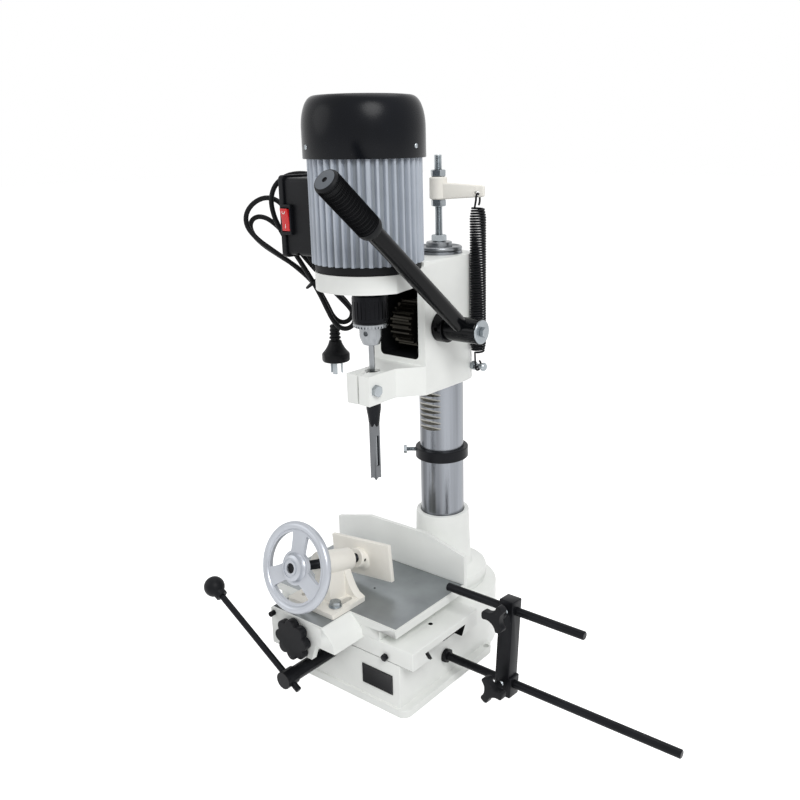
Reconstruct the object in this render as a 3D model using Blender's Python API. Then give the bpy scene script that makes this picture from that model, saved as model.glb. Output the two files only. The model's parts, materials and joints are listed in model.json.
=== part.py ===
"""Benchtop mortiser: an assembly of separate pieces, in metres, +Z up.

X runs right along the fence, Y runs from the operator to the column, and the
origin lies on the column's axis, on the face that rests on the bench.
"""

import math

import bmesh
import bpy
import numpy as np
from mathutils import Matrix, Vector

GAP = 0.0003
OVERRUN = 0.004
ROUND = 28
SMALL_ROUND = 16
TINY_ROUND = 10

# Base casting
FOOT_LEDGE = 0.011
FOOT_FRONT = 0.2025
FOOT_REAR = 0.008
FOOT_THICKNESS = 0.011
FOOT_CORNER = 0.012
FOOT_HOLE_RADIUS = 0.0042
BASE_HALF_WIDTH = 0.083
BASE_FRONT = 0.199
BASE_STEP = 0.071
BASE_TOP = 0.085
BASE_WALL = 0.010
REAR_CENTRE = 0.013
PEDESTAL_FRONT = 0.0625
COLUMN_PAD_RADIUS = 0.040
LOWER_DOVETAIL_FRONT = 0.168
LOWER_DOVETAIL_REAR = 0.092
LOWER_DOVETAIL_SLANT = 0.0075

# Column, socket and what stands on the column
COLUMN_RADIUS = 0.030
COLUMN_TOP = 0.552
COLUMN_FOOT = 0.0895
RACK_MODULE = 0.0025
RACK_BOTTOM = 0.318
RACK_TOP = 0.512
FLANGE_RADIUS = 0.0615
FLANGE_TOP = 0.106
FLANGE_STEP_HEIGHT = 0.006
FLANGE_STEP_DEPTH = 0.002
SLEEVE_RADIUS = 0.037
SLEEVE_FOOT_RADIUS = 0.0395
SOCKET_TOP = 0.190
SOCKET_FLOOR = 0.089
SET_SCREW_RADIUS = 0.003
SET_SCREW_HEIGHT = 0.168
SET_SCREW_ANGLE = math.radians(37.8)
CAP_THICKNESS = 0.005
CAP_RIM = 0.003
STUD_RADIUS = 0.005
STUD_TOP = 0.671
STUD_DEPTH = 0.025
NUT_ACROSS_FLATS = 0.017
NUT_HEIGHT = 0.0085
STUD_NUT_BASE = 0.563
ARM_HUB_BASE = 0.616
ARM_HUB_HEIGHT = 0.028
ARM_HUB_RADIUS = 0.0115
SPRING_X = 0.051
SPRING_Y = 0.015
ARM_TIP_REACH = 0.009
ARM_ROOT_HEIGHT = 0.022
ARM_TIP_HEIGHT = 0.014
ARM_ROOT_WIDTH = 0.016
ARM_TIP_WIDTH = 0.006
HOOK_HOLE_RADIUS = 0.0034

# Depth stop collar
COLLAR_RADIUS = 0.0363
COLLAR_BASE = 0.2685
COLLAR_HEIGHT = 0.015
COLLAR_BOLT_RADIUS = 0.003
COLLAR_BOLT_REACH = 0.050
COLLAR_BOLT_HEAD = 0.0055
COLLAR_BOLT_FLATS = 0.010
COLLAR_BOLT_ANGLE = math.radians(217.8)

# Head casting
HEAD_HALF_WIDTH = 0.042
HEAD_WALL = 0.011
HEAD_FRONT = 0.085
HEAD_BOTTOM = 0.382
HEAD_TOP = 0.548
WINDOW_BOTTOM = 0.426
WINDOW_TOP = 0.518
WINDOW_CORNER = 0.006
SPINDLE_Y = -0.137
PLATE_RADIUS = 0.063
PLATE_BOTTOM = 0.522
PLATE_TOP = 0.543
PLATE_BORE = 0.024
HOLDER_HALF_WIDTH = 0.018
HOLDER_FRONT = 0.164
HOLDER_REAR = 0.115
HOLDER_TOP = 0.419
HOLDER_BORE = 0.0095
HOLDER_SLIT = 0.003
CLAMP_BOLT_Y = -0.1525
CLAMP_BOLT_HEIGHT = 0.400
CLAMP_BOLT_RADIUS = 0.004
CLAMP_BOLT_FLATS = 0.013
CLAMP_BOLT_HEAD = 0.0055
SPRING_BOLT_HEIGHT = 0.400
SPRING_BOLT_RADIUS = 0.0035
SPRING_BOLT_START = 0.0305
SPRING_BOLT_END = 0.062
SPRING_BOLT_HEAD = 0.0035
SPRING_BOLT_FLATS = 0.011
SPRING_NUT = 0.0045

# Motor
MOTOR_RADIUS = 0.066
MOTOR_ROOT_RADIUS = 0.0615
MOTOR_BORE = 0.0545
MOTOR_BOTTOM = 0.553
MOTOR_TOP = 0.670
MOTOR_FINS = 32
FIN_THICKNESS_SHARE = 0.5
MOTOR_END_WEB = 0.009
BELL_RADIUS = 0.0625
BEARING_RADIUS = 0.020
BEARING_HEIGHT = 0.012
BEARING_SEAT_WALL = 0.004
SHAFT_RADIUS = 0.0085
SHAFT_BOTTOM = 0.494
SHAFT_REACH = 0.042
ROTOR_RADIUS = 0.030
ROTOR_BOTTOM = 0.580
ROTOR_TOP = 0.640
STATOR_INNER_RADIUS = 0.0308
COVER_RADIUS = 0.0704
COVER_HEIGHT = 0.068
COVER_RIM_RADIUS = 0.0542
COVER_SHOULDER_DROP = 0.035
COVER_WALL = 0.0022
COVER_RECESS = 0.006
GRILLE_SLOTS = 8
GRILLE_SLOT_WIDTH = 0.006
GRILLE_SLOT_INNER = 0.016
GRILLE_SLOT_OUTER = 0.047
FAN_HUB_RADIUS = 0.013
FAN_RADIUS = 0.056
FAN_DROP = 0.028
FAN_HEIGHT = 0.016
FAN_BLADES = 5
FAN_BLADE_THICKNESS = 0.0025
FAN_DISC = 0.003

# Chuck, auger and hollow chisel
CHUCK_TOP = 0.514
CHUCK_SLEEVE_RADIUS = 0.0218
CHUCK_SLEEVE_BOTTOM = 0.478
CHUCK_TEETH_BOTTOM = 0.473
CHUCK_NOSE_RADIUS = 0.014
CHUCK_NOSE_BOTTOM = 0.452
CHUCK_TAPER_RADIUS = 0.010
AUGER_SHANK_RADIUS = 0.0036
AUGER_TOP = 0.468
AUGER_RADIUS = 0.0033
AUGER_NECK = 0.424
AUGER_BOTTOM = 0.280
AUGER_POINT = 0.004
CHISEL_SIDE = 0.0095
CHISEL_TIP = 0.279
CHISEL_BODY_TOP = 0.349
CHISEL_NECK_TOP = 0.372
CHISEL_SHANK_RADIUS = 0.0092
CHISEL_SHANK_TOP = 0.416
CHISEL_BORE = 0.0037
CHISEL_TIP_HOLLOW = 0.0046
CHIP_SLOT_BOTTOM = 0.296
CHIP_SLOT_TOP = 0.336
CHIP_SLOT_WIDTH = 0.005

# Switch box and rocker on the motor's left side
BOX_LEFT = -0.113
BOX_FRONT = -0.166
BOX_REAR = -0.104
BOX_BOTTOM = 0.556
BOX_TOP = 0.648
BOX_LID = 0.008
BOX_LID_STEP = 0.003
BOX_WALL = 0.003
BOX_CORNER = 0.005
BEZEL_CENTRE_X = -0.1005
BEZEL_BOTTOM = 0.581
BEZEL_TOP = 0.617
BEZEL_HALF_WIDTH = 0.0085
BEZEL_PROUD = 0.0025
ROCKER_HALF_WIDTH = 0.0062
ROCKER_HALF_HEIGHT = 0.0135
ROCKER_PROUD = 0.0035
ROCKER_DEPTH = 0.009
GLAND_RADIUS = 0.0065
GLAND_LENGTH = 0.009
GLAND_X = -0.088
GLAND_HEIGHT = 0.636

# Feed lever and its pinion
LEVER_AXIS_Y = -0.055
LEVER_AXIS_Z = 0.465
PINION_TEETH = 22
PINION_HALF_WIDTH = 0.015
PINION_SHAFT_RADIUS = 0.0095
PINION_SHAFT_LEFT = -0.046
SHAFT_COLLAR_RADIUS = 0.0178
SHAFT_COLLAR_END = 0.057
HUB_RADIUS = 0.0155
HUB_END = 0.104
HUB_BORE_WALL = 0.0045
ARM_X = 0.079
ARM_ANGLE = math.radians(39.6)
ARM_RADIUS = 0.0102
GRIP_START = 0.209
GRIP_END = 0.2955
GRIP_RADIUS = 0.0145
GRIP_END_WALL = 0.004
GRIP_CORNER = 0.003
WASHER_RADIUS = 0.0165
WASHER_THICKNESS = 0.0022
END_BOLT_RADIUS = 0.003
END_BOLT_FLATS = 0.010
END_BOLT_HEAD = 0.0045
END_BOLT_DEPTH = 0.016

# Saddle and its travel rack
SADDLE_LEFT = -0.090
SADDLE_RIGHT = 0.105
SADDLE_FRONT = 0.199
SADDLE_REAR = 0.0645
SADDLE_TOP = 0.095
UPPER_DOVETAIL_LEFT = -0.092
UPPER_DOVETAIL_RIGHT = 0.022
UPPER_DOVETAIL_SLANT = 0.0075
GIB_THICKNESS = 0.004
TRAVEL_MODULE = 0.002
TRAVEL_TEETH = 20
TRAVEL_X = -0.0335
TRAVEL_Z = 0.050
TRAVEL_RACK_FRONT = 0.187
TRAVEL_RACK_REAR = 0.1752
TRAVEL_RACK_LEFT = -0.084
TRAVEL_RACK_RIGHT = 0.006
TRAVEL_RACK_TOP = 0.079
TRAVEL_BACK = 0.014
TRAVEL_FORTH = 0.040
TRAVEL_SHAFT_RADIUS = 0.0094
TRAVEL_SHAFT_FRONT = 0.283
TRAVEL_HUB_RADIUS = 0.0112
TRAVEL_HUB_LENGTH = 0.018
TRAVEL_HUB_Y = -0.2745
TRAVEL_ROD_RADIUS = 0.004
TRAVEL_ROD_TAIL = 0.021
TRAVEL_ROD_REACH = 0.149
TRAVEL_ANGLE = math.radians(148.0)
BALL_RADIUS = 0.0134
BALL_NECK_RADIUS = 0.0078
BALL_NECK_LENGTH = 0.008
BALL_SOCKET_DEPTH = 0.012
GIB_SCREW_X = 0.062
GIB_SCREW_Z = 0.077
GIB_SCREW_RADIUS = 0.0025
GIB_SCREW_FLATS = 0.008
GIB_SCREW_HEAD = 0.005

# Table, apron and fence
TABLE_LEFT = -0.148
TABLE_RIGHT = 0.080
TABLE_FRONT = 0.199
TABLE_REAR = 0.0595
TABLE_BOTTOM = 0.108
TABLE_TOP = 0.119
TABLE_SKIRT_OUTER = 0.030
APRON_LEFT = -0.086
APRON_RIGHT = 0.004
APRON_FLARE = 0.021
APRON_BOTTOM = 0.091
APRON_DEEP_BOTTOM = 0.069
APRON_DEEP_RIGHT = -0.016
APRON_FRONT = 0.250
APRON_WALL = 0.008
FENCE_THICKNESS = 0.006
FENCE_SEAT_DEPTH = 0.0005
FENCE_TOP = 0.176
FENCE_CHAMFER_RUN = 0.062
FENCE_CHAMFER_DROP = 0.016
FEED_X = -0.040
FEED_Z = 0.0935
FEED_SCREW_RADIUS = 0.0042
FEED_SCREW_REAR = 0.122
FEED_COLLAR_RADIUS = 0.007
FEED_COLLAR_WIDTH = 0.005
KNOB_RADIUS = 0.0275
KNOB_ROOT_SHARE = 0.84
KNOB_LOBES = 8
KNOB_FRONT = 0.2622
KNOB_BACK = 0.2525
KNOB_HUB_RADIUS = 0.015
KNOB_SOCKET = 0.010

# Clamp bracket, screw, handwheel and pad
BRACKET_LEFT = -0.079
BRACKET_RIGHT = 0.0015
BRACKET_FRONT = 0.227
BRACKET_REAR = 0.167
BRACKET_THICKNESS = 0.0065
BRACKET_SLOT_FRONT = 0.214
BRACKET_SLOT_REAR = 0.180
BRACKET_SLOT_WIDTH = 0.0086
BRACKET_SLOT_INSET = 0.0135
BRACKET_BOLT_Y = -0.2085
BRACKET_BOLT_RADIUS = 0.004
BRACKET_BOLT_FLATS = 0.013
BRACKET_BOLT_HEAD = 0.0053
BRACKET_BOLT_WASHER = 0.0085
BRACKET_BOLT_WASHER_THICKNESS = 0.0016
BRACKET_BOLT_DEPTH = 0.009
UPRIGHT_HALF_WIDTH = 0.0145
UPRIGHT_FRONT = 0.206
UPRIGHT_REAR = 0.176
CLAMP_X = -0.036
WHEEL_Y = -0.248
WHEEL_Z = 0.189
CLAMP_SLOPE = math.radians(16.0)
BARREL_RADIUS = 0.0155
BARREL_START = 0.040
BARREL_END = 0.092
CLAMP_SCREW_RADIUS = 0.006
CLAMP_SCREW_END = 0.119
WHEEL_RADIUS = 0.0565
WHEEL_RIM = 0.0055
WHEEL_HUB_RADIUS = 0.016
WHEEL_HUB_HALF = 0.010
SPOKE_COUNT = 3
SPOKE_WIDTH = 0.013
SPOKE_THICKNESS = 0.008
PAD_HALF_WIDTH = 0.051
PAD_HALF_HEIGHT = 0.0255
PAD_THICKNESS = 0.006
PAD_TILT = math.radians(5.5)
PAD_BOSS_RADIUS = 0.0115
PAD_BOSS_START = 0.108
PAD_BOSS_END = 0.126

# Length stop
STOP_ROD_RADIUS = 0.0053
STOP_ROD_Y = -0.107
STOP_ROD_Z = 0.040
STOP_ROD_END = 0.408
STOP_ROD_DEPTH = 0.010
ROD_NUT_FLATS = 0.017
ROD_NUT_THICKNESS = 0.006
STOP_BAR_X = 0.178
STOP_BAR_WIDTH = 0.020
STOP_BAR_WALL = 0.002
STOP_BAR_LEAN = math.radians(5.1)
STOP_ROD_SPACING = 0.096
STOP_BAR_ABOVE = 0.014
STOP_BAR_BELOW = 0.016
STOP_BLOCK_HEIGHT = 0.026
STOP_BLOCK_EXTRA = 0.003
UPPER_ROD_START = 0.083
UPPER_ROD_END = 0.281
WING_KNOB_RADIUS = 0.0175
WING_KNOB_LOBES = 3
WING_KNOB_ROOT_SHARE = 0.5
WING_KNOB_THICKNESS = 0.011
WING_KNOB_STANDOFF = 0.016
WING_KNOB_HUB_RADIUS = 0.0062
WING_SCREW_RADIUS = 0.003

# Nameplate on the base front
PLATE_LEFT = 0.022
PLATE_RIGHT = 0.072
PLATE_LOWER = 0.0265
PLATE_UPPER = 0.0535
PLATE_THICKNESS = 0.001

# Return spring
SPRING_WIRE = 0.0028
SPRING_MEAN_RADIUS = 0.0094
SPRING_CURLS = 31
SPRING_COIL_BOTTOM = 0.420
SPRING_COIL_TOP = 0.606
SPRING_POINTS_PER_CURL = 8
SPRING_HOOK_RADIUS = 0.0062
SPRING_UPPER_HOOK_RADIUS = 0.0075
SPRING_UPPER_HOOK_Z = 0.6235

# Mains cord, its tie and its plug, hanging behind the switch box
CORD_RADIUS = 0.0032
CORD_LOOPS = 2
CORD_POINTS_PER_LOOP = 24
CORD_LAYER_STEP = 0.012
HANK_HEADING = math.radians(37.8)
HANK_WAIST = (-0.160, 0.515)
HANK_FRONT_LAYER = -0.006
HANK_WAIST_HALF_WIDTH = 0.005
UPPER_LOBE_LENGTH = 0.130
UPPER_LOBE_HALF_WIDTH = 0.030
UPPER_LOBE_LEAN = math.radians(38)
UPPER_LOBE_LEAN_STEP = math.radians(9)
UPPER_LOBE_SHARES = (1.0, 0.90)
UPPER_WIDTH_SHARES = (1.0, 0.52)
LOWER_LOBE_LENGTH = 0.078
LOWER_LOBE_HALF_WIDTH = 0.013
LOWER_LOBE_LEAN = math.radians(33)
LOWER_LOBE_SHARES = (1.0, 0.90)
CORD_LEAD = (
    (-0.135, -0.001, 0.641),
    (-0.155, 0.002, 0.649),
    (-0.175, 0.001, 0.6535),
    (-0.195, -0.001, 0.652),
    (-0.211, -0.004, 0.640),
    (-0.218, -0.006, 0.620),
    (-0.2135, -0.006, 0.599),
    (-0.203, -0.006, 0.578),
    (-0.190, -0.006, 0.556),
    (-0.177, -0.006, 0.535),
)
TIE_RADIUS = 0.0018
PLUG_PLACE = (-0.1430, 0.0200)
PLUG_TOP = 0.451
PLUG_FLANGE_RADIUS = 0.019
PLUG_FLANGE_BOTTOM = 0.400
PLUG_FLANGE_HEIGHT = 0.013
PLUG_NECK_RADIUS = 0.0085
PLUG_GRIP_RADIUS = 0.0062
PLUG_PIN_LENGTH = 0.017
PLUG_PIN_WIDTH = 0.0063
PLUG_PIN_THICKNESS = 0.0017
PLUG_PIN_OFFSET = 0.0075

# What follows from the sizes above
FOOT_HALF_WIDTH = BASE_HALF_WIDTH + FOOT_LEDGE
COVER_TOP = MOTOR_TOP + COVER_HEIGHT
COVER_SHOULDER = COVER_TOP - COVER_SHOULDER_DROP
SHAFT_TOP = MOTOR_TOP + SHAFT_REACH
FAN_BOTTOM = SHAFT_TOP - FAN_DROP
PINION_RADIUS = RACK_MODULE * PINION_TEETH / 2
TRAVEL_RADIUS = TRAVEL_MODULE * TRAVEL_TEETH / 2
BOX_RIGHT = -math.sqrt(MOTOR_RADIUS**2 - (SPINDLE_Y - (BOX_FRONT + BOX_REAR) / 2) ** 2)
CLAMP_ORIGIN = Vector((CLAMP_X, WHEEL_Y, WHEEL_Z))
CLAMP_DIRECTION = Vector((0, math.cos(CLAMP_SLOPE), -math.sin(CLAMP_SLOPE)))
TRAVEL_DIRECTION = Vector((math.cos(TRAVEL_ANGLE), 0, math.sin(TRAVEL_ANGLE)))
ARM_DIRECTION = Vector((0, -math.cos(ARM_ANGLE), math.sin(ARM_ANGLE)))
STOP_PIVOT = Vector((STOP_BAR_X, STOP_ROD_Y, STOP_ROD_Z))
STOP_LEAN = Matrix.Rotation(-STOP_BAR_LEAN, 3, "X")


def clear_scene():
    for old in list(bpy.data.objects):
        bpy.data.objects.remove(old)


def make_material(name, colour, roughness, metallic):
    """A Principled material from an sRGB hex colour."""
    material = bpy.data.materials.new(name)
    material.use_nodes = True
    shader = material.node_tree.nodes["Principled BSDF"]
    channels = [int(colour[i : i + 2], 16) / 255 for i in (0, 2, 4)]
    linear = [c / 12.92 if c <= 0.04045 else ((c + 0.055) / 1.055) ** 2.4 for c in channels]
    shader.inputs["Base Color"].default_value = (*linear, 1)
    shader.inputs["Roughness"].default_value = roughness
    shader.inputs["Metallic"].default_value = metallic
    return material


FINISHES = {
    "casting_paint": ("E9EEEE", 0.35, 0.0),
    "cream_paint": ("EEEBE3", 0.40, 0.0),
    "black_paint": ("1C1E22", 0.35, 0.0),
    "black_plastic": ("18191C", 0.50, 0.0),
    "polished_steel": ("B9BDC2", 0.20, 1.0),
    "zinc": ("C4CACD", 0.30, 1.0),
    "motor_paint": ("9BA5B2", 0.40, 0.3),
    "wheel_paint": ("B4BECD", 0.30, 0.4),
    "dark_steel": ("55585C", 0.35, 1.0),
    "ground_iron": ("7C8286", 0.35, 0.8),
    "rubber": ("1A1B1D", 0.75, 0.0),
    "red_plastic": ("D42128", 0.35, 0.0),
    "copper": ("A5673F", 0.35, 1.0),
}


def finish_object(name, shape, finish, carrier=None):
    """Turns a bmesh in world coordinates into a node carried by its body's empty."""
    bmesh.ops.recalc_face_normals(shape, faces=shape.faces)
    mesh = bpy.data.meshes.new(name)
    shape.to_mesh(mesh)
    shape.free()
    made = bpy.data.objects.new(name, mesh)
    bpy.context.scene.collection.objects.link(made)
    mesh.materials.append(make_material(name, *FINISHES[finish]))
    mesh.shade_smooth()
    mesh.set_sharp_from_angle(angle=math.radians(35))
    if carrier:
        mesh.transform(Matrix.Translation(-carrier.location))
        made.parent = carrier
    return made


def make_body(name, place):
    """An empty on a moving body's joint axis, which carries the body's pieces."""
    carrier = bpy.data.objects.new(name, None)
    carrier.location = place
    bpy.context.scene.collection.objects.link(carrier)
    return carrier


def prism(outline, axis, low, high):
    """A closed solid: an outline in the plane across one axis, run along that axis."""
    order = {"X": lambda a, b, c: (c, a, b), "Y": lambda a, b, c: (a, c, b), "Z": lambda a, b, c: (a, b, c)}
    place = order[axis]
    shape = bmesh.new()
    lower = [shape.verts.new(place(a, b, low)) for a, b in outline]
    upper = [shape.verts.new(place(a, b, high)) for a, b in outline]
    shape.faces.new(lower)
    shape.faces.new(upper)
    count = len(outline)
    for i in range(count):
        j = (i + 1) % count
        shape.faces.new((lower[i], lower[j], upper[j], upper[i]))
    return shape


def block(x_range, y_range, z_range):
    corners = [(x_range[i], y_range[j]) for i, j in ((0, 0), (1, 0), (1, 1), (0, 1))]
    return prism(corners, "Z", *z_range)


def turned(profile, segments=ROUND, closed_ring=False):
    """A profile of (radius, height) turned about Z; a closed ring has a bore."""
    shape = bmesh.new()
    rings = []
    for radius, height in profile:
        if radius == 0:
            rings.append([shape.verts.new((0, 0, height))])
            continue
        turn = [math.tau * i / segments for i in range(segments)]
        rings.append(
            [shape.verts.new((radius * math.cos(t), radius * math.sin(t), height)) for t in turn]
        )
    pairs = list(zip(rings, rings[1:]))
    if closed_ring:
        pairs.append((rings[-1], rings[0]))
    for first, second in pairs:
        for i in range(segments):
            j = (i + 1) % segments
            corners = [
                first[i % len(first)],
                first[j % len(first)],
                second[j % len(second)],
                second[i % len(second)],
            ]
            distinct = list(dict.fromkeys(corners))
            if len(distinct) > 2:
                shape.faces.new(distinct)
    return shape


def solid_profile(*steps):
    """Closes a turned profile onto its axis at both ends."""
    return [(0, steps[0][1]), *steps, (0, steps[-1][1])]


def rod(radius, low, high, segments=SMALL_ROUND):
    return turned(solid_profile((radius, low), (radius, high)), segments)


def tube(outer, inner, low, high, segments=ROUND):
    return turned(
        [(outer, low), (outer, high), (inner, high), (inner, low)], segments, closed_ring=True
    )


def hex_rod(across_flats, low, high):
    radius = across_flats / math.sqrt(3)
    corners = [
        (radius * math.cos(math.tau * i / 6), radius * math.sin(math.tau * i / 6)) for i in range(6)
    ]
    return prism(corners, "Z", low, high)


def placed(shape, origin=(0, 0, 0), direction=(0, 0, 1)):
    """Turns a shape's Z axis to a direction and moves it to an origin."""
    turn = Vector((0, 0, 1)).rotation_difference(Vector(direction)).to_matrix().to_4x4()
    bmesh.ops.transform(shape, matrix=Matrix.Translation(origin) @ turn, verts=shape.verts)
    return shape


def merge(shape, tool, operation):
    """One exact Boolean between two closed shapes."""
    pair = []
    for part in (shape, tool):
        bmesh.ops.recalc_face_normals(part, faces=part.faces)
        mesh = bpy.data.meshes.new("work")
        part.to_mesh(mesh)
        part.free()
        helper = bpy.data.objects.new("work", mesh)
        bpy.context.scene.collection.objects.link(helper)
        pair.append(helper)
    boolean = pair[0].modifiers.new("merge", "BOOLEAN")
    boolean.operation = operation
    boolean.solver = "EXACT"
    boolean.object = pair[1]
    pair[1].hide_render = True
    pair[1].display_type = "WIRE"
    graph = bpy.context.evaluated_depsgraph_get()
    result = bmesh.new()
    result.from_mesh(pair[0].evaluated_get(graph).to_mesh())
    for helper in pair:
        bpy.data.objects.remove(helper)
    return result


def cut(shape, *tools):
    for tool in tools:
        shape = merge(shape, tool, "DIFFERENCE")
    return shape


def join(shape, *others):
    for other in others:
        shape = merge(shape, other, "UNION")
    return shape


def arc(centre, radius, start, end, steps):
    turns = [start + (end - start) * i / steps for i in range(steps + 1)]
    return [(centre[0] + radius * math.cos(t), centre[1] + radius * math.sin(t)) for t in turns]


def rounded_outline(low, high, radius, steps=4):
    """A rectangle's outline with round corners, anticlockwise."""
    quarter = math.pi / 2
    centres = ((high[0] - radius, high[1] - radius), (low[0] + radius, high[1] - radius))
    centres += ((low[0] + radius, low[1] + radius), (high[0] - radius, low[1] + radius))
    points = []
    for index, centre in enumerate(centres):
        points += arc(centre, radius, index * quarter, (index + 1) * quarter, steps)
    return points


def gear_outline(module, teeth, bottom_angle=0.0):
    """A straight-sided gear outline, with a tooth space centred on bottom_angle."""
    pitch_radius = module * teeth / 2
    tip = pitch_radius + module * 0.75
    root = pitch_radius - module * 1.15
    half_shares = ((root, 0.33), (tip, 0.13))
    points = []
    for i in range(teeth):
        middle = bottom_angle + math.tau * (i + 0.5) / teeth
        step = math.tau / teeth
        points.append((half_shares[0][0], middle - half_shares[0][1] * step))
        points.append((half_shares[1][0], middle - half_shares[1][1] * step))
        points.append((half_shares[1][0], middle + half_shares[1][1] * step))
        points.append((half_shares[0][0], middle + half_shares[0][1] * step))
    return [(radius * math.cos(turn), radius * math.sin(turn)) for radius, turn in points]


def lobed_outline(radius, root_share, lobes, steps=6):
    """A knob's outline: round lobes with hollows between them."""
    points = []
    for i in range(lobes * steps):
        turn = math.tau * i / (lobes * steps)
        wave = 0.5 + 0.5 * math.cos(lobes * turn)
        share = root_share + (1 - root_share) * wave**0.6
        points.append((radius * share * math.cos(turn), radius * share * math.sin(turn)))
    return points


def smooth_tube(name, points, radius, resolution, finish, carrier=None):
    """A tube along points, as a curve object with filled caps."""
    curve = bpy.data.curves.new(name, "CURVE")
    curve.dimensions = "3D"
    curve.bevel_depth = radius
    curve.bevel_resolution = resolution
    curve.use_fill_caps = True
    line = curve.splines.new("POLY")
    line.points.add(len(points) - 1)
    offset = carrier.location if carrier else Vector()
    for slot, point in zip(line.points, points):
        slot.co = (*(Vector(point) - offset), 1)
    curve.materials.append(make_material(name, *FINISHES[finish]))
    made = bpy.data.objects.new(name, curve)
    bpy.context.scene.collection.objects.link(made)
    if carrier:
        made.parent = carrier
    return made


def least_gap(points, diameter):
    """The least clear distance between stretches that aren't neighbours."""
    path = np.array(points, dtype=float)
    run = np.concatenate(([0.0], np.cumsum(np.linalg.norm(np.diff(path, axis=0), axis=1))))
    fine = np.linspace(0, run[-1], 2400)
    sampled = np.stack([np.interp(fine, run, path[:, k]) for k in range(3)], axis=1)
    distance = np.linalg.norm(sampled[:, None] - sampled[None], axis=2)
    apart = np.abs(fine[:, None] - fine[None]) > math.pi * diameter
    return float(distance[apart].min() - diameter)


def base_outline(half_width, front, rear_radius):
    """The base in plan: a straight front and a rounded rear."""
    rear = arc((0, -REAR_CENTRE), rear_radius, 0, math.pi, ROUND // 2)
    return [(half_width, -front), *rear, (-half_width, -front)]


def make_base_casting():
    foot_corners = rounded_outline(
        (-FOOT_HALF_WIDTH, -FOOT_FRONT), (FOOT_HALF_WIDTH, -FOOT_REAR), FOOT_CORNER
    )
    shape = prism(foot_corners, "Z", 0, FOOT_THICKNESS)
    body = prism(base_outline(BASE_HALF_WIDTH, BASE_FRONT, BASE_HALF_WIDTH), "Z", 0, BASE_TOP)
    over = FOOT_HALF_WIDTH
    step_front = block(
        (-over, over), (-BASE_FRONT - over, -PEDESTAL_FRONT), (BASE_STEP, BASE_TOP + over)
    )
    body = cut(body, step_front)
    slant = LOWER_DOVETAIL_SLANT
    dovetail = [
        (-LOWER_DOVETAIL_FRONT + slant, BASE_STEP - OVERRUN),
        (-LOWER_DOVETAIL_REAR - slant, BASE_STEP - OVERRUN),
        (-LOWER_DOVETAIL_REAR - slant, BASE_STEP),
        (-LOWER_DOVETAIL_REAR, BASE_TOP - GAP * 2),
        (-LOWER_DOVETAIL_FRONT, BASE_TOP - GAP * 2),
        (-LOWER_DOVETAIL_FRONT + slant, BASE_STEP),
    ]
    shape = join(shape, body, prism(dovetail, "X", -BASE_HALF_WIDTH, BASE_HALF_WIDTH))
    inner = BASE_HALF_WIDTH - BASE_WALL
    front_hollow = block(
        (-inner, inner), (-BASE_FRONT + BASE_WALL, -PEDESTAL_FRONT), (-OVERRUN, BASE_STEP - BASE_WALL)
    )
    rear_hollow = prism(
        arc((0, -REAR_CENTRE), inner, 0, math.tau, ROUND)[:-1], "Z", -OVERRUN, BASE_STEP - BASE_WALL
    )
    rear_hollow = cut(rear_hollow, rod(COLUMN_PAD_RADIUS, -2 * OVERRUN, BASE_TOP, ROUND))
    shape = cut(shape, front_hollow, rear_hollow)
    shaft_bore = rod(TRAVEL_SHAFT_RADIUS + GAP, -OVERRUN, BASE_WALL + OVERRUN, SMALL_ROUND)
    shape = cut(shape, placed(shaft_bore, (TRAVEL_X, -BASE_FRONT, TRAVEL_Z), (0, 1, 0)))
    tip = TRAVEL_RADIUS + TRAVEL_MODULE
    pinion_slot = block(
        (TRAVEL_X - tip, TRAVEL_X + tip),
        (-BASE_FRONT + BASE_WALL, -TRAVEL_RACK_REAR + 2 * GAP),
        (BASE_STEP - BASE_WALL - OVERRUN, BASE_STEP + OVERRUN),
    )
    rack_groove = block(
        (-BASE_HALF_WIDTH - OVERRUN, TRAVEL_RACK_RIGHT + TRAVEL_FORTH + OVERRUN),
        (-TRAVEL_RACK_FRONT - 2 * GAP, -TRAVEL_RACK_REAR + 2 * GAP),
        (BASE_STEP - 2 * TRAVEL_MODULE, BASE_STEP + OVERRUN),
    )
    shape = cut(shape, pinion_slot, rack_groove)
    for side in (-1, 1):
        ear = (FOOT_HALF_WIDTH + BASE_HALF_WIDTH) / 2 * side
        hole = rod(FOOT_HOLE_RADIUS, -OVERRUN, FOOT_THICKNESS + OVERRUN, TINY_ROUND)
        shape = cut(shape, placed(hole, (ear, -FOOT_REAR - FOOT_CORNER, 0)))
    rod_hole = rod(STOP_ROD_RADIUS + GAP, -STOP_ROD_DEPTH - GAP, OVERRUN, TINY_ROUND)
    shape = cut(shape, placed(rod_hole, (BASE_HALF_WIDTH, STOP_ROD_Y, STOP_ROD_Z), (1, 0, 0)))
    finish_object("base_casting", shape, "casting_paint")


def make_nameplate():
    front = -BASE_FRONT - GAP
    plate = block(
        (PLATE_LEFT, PLATE_RIGHT), (front - PLATE_THICKNESS, front), (PLATE_LOWER, PLATE_UPPER)
    )
    finish_object("nameplate", plate, "black_plastic")


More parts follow.
